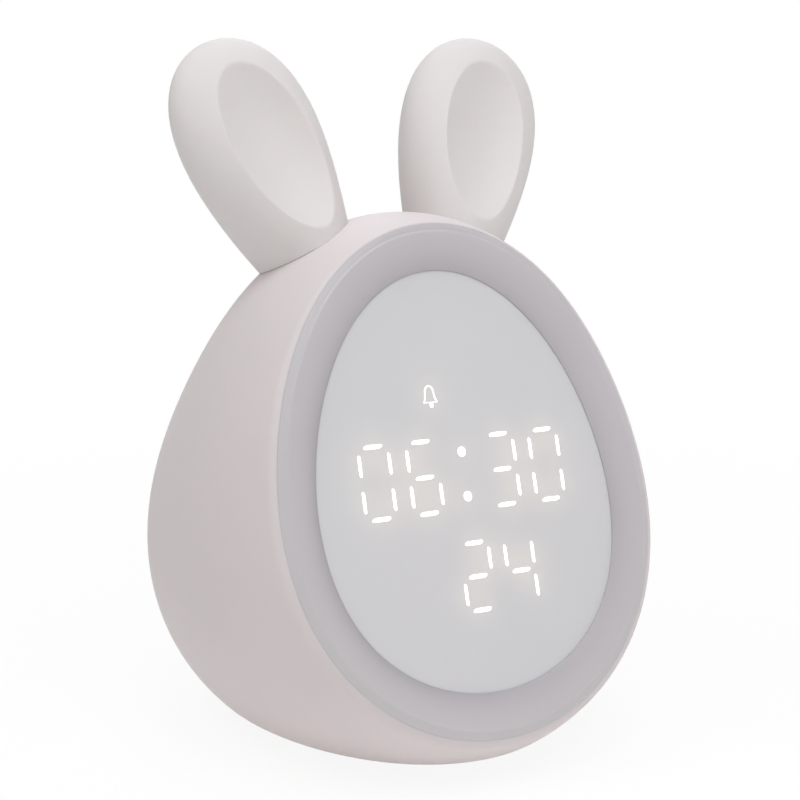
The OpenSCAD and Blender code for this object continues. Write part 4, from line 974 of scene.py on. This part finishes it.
def new_material(name, **shader_values):
    """A material with one shader, whose constant values sit on its own sockets."""
    material = bpy.data.materials.new(name)
    material.use_nodes = True
    tree = material.node_tree
    tree.nodes.clear()
    shader = add(tree, "BsdfPrincipled", shader_values)
    add(tree, "OutputMaterial", {"Surface": shader.outputs["BSDF"]})
    coordinates = add(tree, "TexCoord").outputs["Object"]
    return material, tree, shader, coordinates


def per_metre(size_mm):
    """Noise scale for features of that size."""
    return 1.0 / (size_mm * MM)


def grain(tree, shader, coordinates, size_mm, height_mm):
    """The fine texture of a tool or mould, as bump."""
    noise = add(tree, "TexNoise", {
        "Vector": coordinates, "Scale": per_metre(size_mm), "Detail": 2.0, "Roughness": 0.55})
    bump = add(tree, "Bump", {
        "Height": noise.outputs["Fac"], "Distance": height_mm * MM, "Strength": 1.0})
    tree.links.new(bump.outputs["Normal"], shader.inputs["Normal"])
    return noise


# The Mix node has sockets of every type under the same names, so colours are linked by index.
def drift_colour(tree, coordinates, size_mm, colour_a, colour_b):
    """A slow change between two near colours."""
    noise = add(tree, "TexNoise", {"Vector": coordinates, "Scale": per_metre(size_mm), "Detail": 2.0})
    spread_out = add(tree, "MapRange", {"Value": noise.outputs["Fac"], "From Min": 0.3, "From Max": 0.7})
    return add(tree, "Mix", {0: spread_out.outputs["Result"], 6: colour_a, 7: colour_b},
               data_type="RGBA").outputs[2]


print("mid grey as a shader counts it:", round(colour("#808080")[0], 3))

# %% [markdown]
# ## Moulded plastics
# The body and ears are ABS from a spark-eroded mould, which leaves a very fine, even grain and a
# soft, broad sheen. ABS lets a little light in under its surface, so shadows stay warm.
# The grain of such a mould is about 0.05 mm; it is drawn at 0.35 mm, the finest that shows here.

# %% Body and ear plastics
def moulded_plastic(name, light, dark, roughness, grain_mm, depth_mm, ior=1.53, subsurface=0.0):
    """Plastic from a mould, its colour drifting between two near ones and its grain a little uneven."""
    material, tree, shader, place = new_material(name, **{
        "Roughness": roughness, "IOR": ior, "Specular IOR Level": 0.4, "Subsurface Weight": subsurface,
        "Subsurface Radius": (1.0, 0.55, 0.4), "Subsurface Scale": 2 * MM})
    tree.links.new(drift_colour(tree, place, 38, colour(light), colour(dark)), shader.inputs["Base Color"])
    fine = grain(tree, shader, place, grain_mm, depth_mm)
    rough = add(tree, "MapRange", {
        "Value": fine.outputs["Fac"], "To Min": roughness - 0.04, "To Max": roughness + 0.04})
    tree.links.new(rough.outputs["Result"], shader.inputs["Roughness"])
    return material


body_abs = moulded_plastic("body_abs", "#dcd3d2", "#d9d1d0", 0.56, 0.35, 0.012, subsurface=0.12)
ear_abs = moulded_plastic("ear_abs", "#dfdad7", "#ddd8d6", 0.6, 0.35, 0.012, subsurface=0.12)
print("mould grain per metre:", round(per_metre(0.35)))

# %% [markdown]
# The ring is frosted polycarbonate; its grey comes from shade painted into its colour by the share kept on
# its vertices. The plate is milk-white acrylic with a fine matte front, and it glows a little around the
# strokes. The frosting of both is finer than 0.1 mm and is drawn at about 0.3 mm, to show.

# %% Ring, plate and light
def frosted_ring():
    """Frosted polycarbonate, greyer where shade is painted on the ring."""
    material, tree, shader, place = new_material("frosted_polycarbonate", **{
        "IOR": 1.58, "Roughness": 0.5, "Specular IOR Level": 0.4, "Subsurface Weight": 0.15,
        "Subsurface Radius": (1.0, 0.8, 0.8), "Subsurface Scale": 2 * MM})
    painted_shade = add(tree, "Attribute", attribute_name="painted_shade")
    bright = drift_colour(tree, place, 30, colour("#d7d1d3"), colour("#d3cfd0"))
    # Painted shade: the ring's colour is mixed towards this grey by the share kept on its vertices
    base = add(tree, "Mix", {0: painted_shade.outputs["Fac"], 6: bright, 7: colour("#a39fa3")}, data_type="RGBA")
    tree.links.new(base.outputs[2], shader.inputs["Base Color"])
    grain(tree, shader, place, 0.3, 0.01)
    return material


def milk_acrylic():
    """Milk-white acrylic that glows a little around the lit strokes."""
    material, tree, shader, place = new_material("milk_acrylic", **{
        "IOR": 1.49, "Roughness": 0.45, "Specular IOR Level": 0.4, "Subsurface Weight": 0.1,
        "Subsurface Radius": (1.0, 1.0, 1.0), "Subsurface Scale": 1 * MM,
        "Emission Color": colour("#fff4e6")})
    near = add(tree, "Attribute", attribute_name="spread")
    base = drift_colour(tree, place, 45, colour("#dad8d9"), colour("#d7d7d8"))
    warm = add(tree, "Mix", {0: near.outputs["Fac"], 6: base, 7: colour("#dddad7")}, data_type="RGBA")
    glow = add(tree, "Math", {0: near.outputs["Fac"], 1: 0.07}, operation="MULTIPLY")
    tree.links.new(warm.outputs[2], shader.inputs["Base Color"])
    tree.links.new(glow.outputs[0], shader.inputs["Emission Strength"])
    grain(tree, shader, place, 0.25, 0.006)
    return material


def lamp_light(name, strength):
    """Something that glows with that strength, a touch warmer in places."""
    material, tree, shader, place = new_material(name, **{
        "IOR": 1.5, "Roughness": 0.4, "Emission Strength": strength, "Base Color": colour("#fffdf6")})
    tree.links.new(drift_colour(tree, place, 1.5, colour("#fffdf8"), colour("#fffaf0")),
                   shader.inputs["Emission Color"])
    return material


ring_finish, plate_finish = frosted_ring(), milk_acrylic()
strong_light, weak_light = lamp_light("lit_stroke", 1.15), lamp_light("lit_bell_stroke", 0.75)
print("ring and plate finishes:", ring_finish.name, plate_finish.name)

# %% [markdown]
# Silicone keys are softer to the eye than the hard plastics: rougher and slightly dusty, which a
# touch of sheen gives. Rubber is the same idea, darker. Their grain, too, is drawn coarser than
# it is, at 0.3 to 0.5 mm.

# %% Soft finishes
def elastomer(name, light, dark, roughness, grain_mm, sheen):
    """Silicone or rubber, matte and slightly dusty."""
    material, tree, shader, place = new_material(name, **{
        "IOR": 1.41, "Roughness": roughness, "Sheen Weight": sheen, "Sheen Roughness": 0.5})
    tree.links.new(drift_colour(tree, place, 4, colour(light), colour(dark)), shader.inputs["Base Color"])
    grain(tree, shader, place, grain_mm, 0.015)
    return material


key_silicone = elastomer("key_silicone", "#cfc8d0", "#cac3cc", 0.62, 0.3, 0.1)
mark_silicone = elastomer("mark_silicone", "#a69fa8", "#a29ba4", 0.6, 0.3, 0.05)
pad_rubber = elastomer("pad_rubber", "#4b494d", "#434145", 0.8, 0.5, 0.1)
print("soft finishes:", key_silicone.name, mark_silicone.name, pad_rubber.name)

# %% [markdown]
# ## The inner pieces
# Boards, chips, screws, the cell and the speaker are closed in, but a viewer may open the model,
# so each gets its own stuff too: zinc plate with its cloudy grain, solder mask with the weave of
# glass cloth beneath, paper, foil and cable jacket. The crystals of plated metal are too fine to
# show and are drawn at 0.4 to 0.8 mm; the foil's wrinkles are about 2.5 mm apart.

# %% Metals
def plated(name, base, roughness, grain_mm, stretch=(1, 1, 1)):
    """Plated or drawn metal, cloudy in colour and in shine. Stretch draws its grain out."""
    material, tree, shader, place = new_material(name, **{"Metallic": 1.0, "Roughness": roughness})
    turned = add(tree, "Mapping", {"Vector": place, "Scale": stretch})
    tree.links.new(drift_colour(tree, turned.outputs["Vector"], 3, colour(base), colour("#c9ccd2")),
                   shader.inputs["Base Color"])
    fine = grain(tree, shader, turned.outputs["Vector"], grain_mm, 0.004)
    rough = add(tree, "MapRange", {
        "Value": fine.outputs["Fac"], "To Min": roughness - 0.08, "To Max": roughness + 0.08})
    tree.links.new(rough.outputs["Result"], shader.inputs["Roughness"])
    return material


zinc = plated("zinc_plated_steel", "#b4b7bd", 0.34, 0.4)
stainless = plated("drawn_stainless_steel", "#bcbec3", 0.26, 0.5, (1, 0.1, 1))
nickel = plated("nickel_plated_magnet_cup", "#a6a49e", 0.22, 0.8)
foil = plated("aluminium_laminate_pouch", "#a7adb5", 0.38, 2.5)
print("metals:", zinc.name, stainless.name, nickel.name, foil.name)

# %% [markdown]
# The rest of the inside is moulded or pressed: chips in black epoxy, sockets in nylon, leads in
# PVC and a paper cone. The function of the body's plastic serves them all with other numbers. Only
# the boards differ, where green lacquer lies over a cloth whose threads show through in rows.
# Real threads lie about 0.5 mm apart; they are drawn about 1.8 mm apart, to show at all.

# %% Boards, chips and the rest
def solder_mask():
    """Green lacquer over the glass cloth of a circuit board."""
    material, tree, shader, place = new_material("green_solder_mask", **{"IOR": 1.55, "Roughness": 0.35})
    weave = add(tree, "TexWave", {"Vector": place, "Scale": per_metre(4.0), "Distortion": 0.4},
                wave_type="BANDS", bands_direction="DIAGONAL")
    cloth = add(tree, "Mix", {0: weave.outputs["Fac"], 6: colour("#2c6a43"), 7: colour("#357a4d")},
                data_type="RGBA")
    tree.links.new(cloth.outputs[2], shader.inputs["Base Color"])
    grain(tree, shader, place, 0.6, 0.01)
    return material


board = solder_mask()
chip = moulded_plastic("epoxy_chip", "#2a2a2d", "#242427", 0.55, 0.2, 0.01)
black_abs = moulded_plastic("black_abs", "#2b2b2f", "#303034", 0.5, 0.3, 0.01)
nylon = moulded_plastic("cream_nylon", "#e8e2d0", "#e2dbc8", 0.5, 0.3, 0.01)
white_pc = moulded_plastic("white_reflector", "#f0f0f0", "#ebebec", 0.5, 0.3, 0.008)
tray_abs = moulded_plastic("tray_abs", "#e6e6e8", "#e1e1e4", 0.55, 0.3, 0.01)
jacket_red = moulded_plastic("red_pvc_jacket", "#a93a37", "#9f3432", 0.42, 0.4, 0.006)
cable_grey = moulded_plastic("grey_flat_cable", "#c9ccd2", "#c2c5cb", 0.4, 0.4, 0.006)
cone_paper = moulded_plastic("pressed_paper", "#4c4c51", "#444449", 0.85, 0.25, 0.03, ior=1.5)
led_epoxy = lamp_light("unlit_led_epoxy", 0.05)

FINISH = {"body_abs": body_abs, "ear_abs": ear_abs, "diffuser_ring": ring_finish,
          "display_pmma": plate_finish, "button_silicone": key_silicone, "foot_rubber": pad_rubber,
          "mask_white": white_pc, "board_green": board, "chip_black": chip, "socket_cream": nylon,
          "lamp_white": led_epoxy, "screw_steel": zinc, "usb_steel": stainless,
          "speaker_black": black_abs, "cone_paper": cone_paper, "magnet_steel": nickel,
          "cell_foil": foil, "tray_abs": tray_abs, "ribbon_pvc": cable_grey, "lead_red": jacket_red}
print("finishes:", len(FINISH))

# %% [markdown]
# ## Dressing the pieces
# The solid pieces that stay in view or inside keep their shape and take a finish by the name of
# their material in the record. The link goes to the object, not to its mesh, which is shared with
# the frame. The new skins take theirs directly.

# %% Give every piece its finish
slot_of = {s["node"]: s["material_slot"] for s in frame["record"]["subparts"]}
for node_name, obj in frame["nodes"].items():
    for material_slot in obj.material_slots:
        material_slot.link = "OBJECT"
        material_slot.material = FINISH[slot_of[node_name]]


def wear(piece, material):
    """Give a piece that one material."""
    piece.data.materials.clear()
    piece.data.materials.append(material)


wear(body_skin, body_abs)
wear(back_plate, body_abs)
wear(left_ear_skin, ear_abs)
wear(right_ear_skin, ear_abs)
wear(glow_ring, ring_finish)
wear(milk_plate, plate_finish)
wear(lit_time, strong_light)
wear(lit_bell, weak_light)
wear(rubber_ring, pad_rubber)
for piece in (knob, knob_ribs):
    wear(piece, key_silicone)
for key in KEYS:
    wear(bpy.data.objects["key_" + key], key_silicone)
    wear(bpy.data.objects["mark_" + key], mark_silicone)
print("solid pieces with a finish:", len(slot_of))

# %% [markdown]
# ## Stage and light
# The clock stands on a white table in front of a white wall, in soft light from all around.
# Seen straight, in a shine or through something clear, both are almost pure white, yet the table
# still takes a little shadow. Rays that carry light onto the clock meet a plain pale surface
# instead, so the white surroundings don't bleach it.

# %% What the eye sees
EYE_RAYS = ("Is Camera Ray", "Is Glossy Ray", "Is Transmission Ray")


def seen_by_eye(tree):
    """1 for rays that end in the eye, straight, by a shine or through glass, and 0 for others."""
    path = add(tree, "LightPath").outputs
    seen = path[EYE_RAYS[0]]
    for ray in EYE_RAYS[1:]:
        seen = add(tree, "Math", {0: seen, 1: path[ray]}, operation="MAXIMUM").outputs[0]
    return seen


print("rays that see the white room:", ", ".join(EYE_RAYS))

# %% [markdown]
# The floor is a large matte sheet. To the eye it is mostly plain white paper, yet an eighth of it
# near the clock is the real surface, which carries the shadow; further out that share fades away.

# %% Floor
FADE_NEAR, FADE_FAR, PAPER_SHARE = 0.1, 0.4, 0.88  # metres from the middle, and the paper's share there


def stage_white():
    """A floor that looks white, keeps a soft shadow and lights the clock only as pale stuff would."""
    material, tree, shader, place = new_material("stage_white", **{
        "Roughness": 0.9, "Base Color": colour("#f9f8f7"),
        "Emission Color": (1, 1, 1, 1), "Emission Strength": 0.11})
    paper = add(tree, "Emission", {"Color": (1, 1, 1, 1), "Strength": 1.0})
    far = add(tree, "VectorMath", {0: place}, operation="LENGTH")
    fade = add(tree, "MapRange", {"Value": far.outputs["Value"], "From Min": FADE_NEAR,
                                  "From Max": FADE_FAR, "To Min": PAPER_SHARE})
    share = add(tree, "Math", {0: seen_by_eye(tree), 1: fade.outputs["Result"]}, operation="MULTIPLY")
    both = add(tree, "MixShader", {0: share.outputs[0], 1: shader.outputs[0], 2: paper.outputs[0]})
    tree.links.new(both.outputs[0], tree.nodes["Material Output"].inputs["Surface"])
    return material


FLOOR_SIZE = 6.0
floor_mesh = bpy.data.meshes.new("floor")
half = FLOOR_SIZE / 2
floor_corners = [(-half, -half, 0), (half, -half, 0), (half, half, 0), (-half, half, 0)]
floor_mesh.from_pydata(floor_corners, [], [(0, 1, 2, 3)])
floor = mesh_object("floor", floor_mesh)
wear(floor, stage_white())
print("floor across in metres:", FLOOR_SIZE)

# %% [markdown]
# The world stands for the walls of a white room. It gives a low, even light that keeps the
# shadows open, and shows itself to the eye as white.

# %% World
world = bpy.data.worlds.new("world")
bpy.context.scene.world = world
world.use_nodes = True
sky = world.node_tree
sky.nodes.clear()
plain = add(sky, "Background", {"Color": colour("#fafafa"), "Strength": 0.084})
white = add(sky, "Background", {"Color": (1, 1, 1, 1), "Strength": 1.0})
blend_sky = add(sky, "MixShader", {0: seen_by_eye(sky), 1: plain.outputs[0], 2: white.outputs[0]})
add(sky, "OutputWorld", {"Surface": blend_sky.outputs[0]})
print("world nodes:", len(sky.nodes))

# %% [markdown]
# Round softboxes, each 0.6 m wide, stand 0.9 m away around the clock. Big sources give soft shadows and
# broad, quiet sheens on matte plastic. Each lamp has a name, its direction in degrees around and
# above the clock, and its power in watts; the one overhead is a touch bluer, like a skylight.

# %% Lamps
def softbox(name, place_mm, aim_mm, size_mm, power, tint):
    """A round area lamp that looks at a point."""
    lamp = bpy.data.lights.new(name, "AREA")
    lamp.shape, lamp.size = "DISK", size_mm * MM
    lamp.energy, lamp.color = power, colour(tint)[:3]
    obj = bpy.data.objects.new(name, lamp)
    obj.location = Vector(place_mm) * MM
    obj.rotation_euler = (Vector(aim_mm) - Vector(place_mm)).to_track_quat("-Z", "Y").to_euler()
    bpy.context.collection.objects.link(obj)
    return obj


LAMP_DISTANCE, SOFTBOX_SIZE = 900, 600
middle_of_clock = np.array([0.0, 0.0, 75.0])
DAYLIGHT, SKYLIGHT = "#ffffff", "#e8ecff"
# Degrees around from the front, degrees up, watts, colour
around_clock = {"left_softbox": (-100, 55, 2.09, DAYLIGHT), "left_front_softbox": (-50, 35, 0.49, DAYLIGHT),
                "front_softbox": (-10, 60, 2.69, DAYLIGHT), "low_front_panel": (-27, 3, 1.03, DAYLIGHT),
                "right_softbox": (40, 55, 0.69, DAYLIGHT), "right_panel": (75, 5, 1.61, DAYLIGHT),
                "top_softbox": (0, 90, 1.81, SKYLIGHT), "back_softbox": (153, 50, 1.1, DAYLIGHT)}
for name, (turned, raised, power, tint) in around_clock.items():
    turned, raised = math.radians(turned), math.radians(raised)
    level = math.cos(raised)
    way = np.array([math.sin(turned) * level, -math.cos(turned) * level, math.sin(raised)])
    softbox(name, middle_of_clock + LAMP_DISTANCE * way, middle_of_clock, SOFTBOX_SIZE, power, tint)

scene = bpy.context.scene
scene.view_settings.view_transform = "Standard"
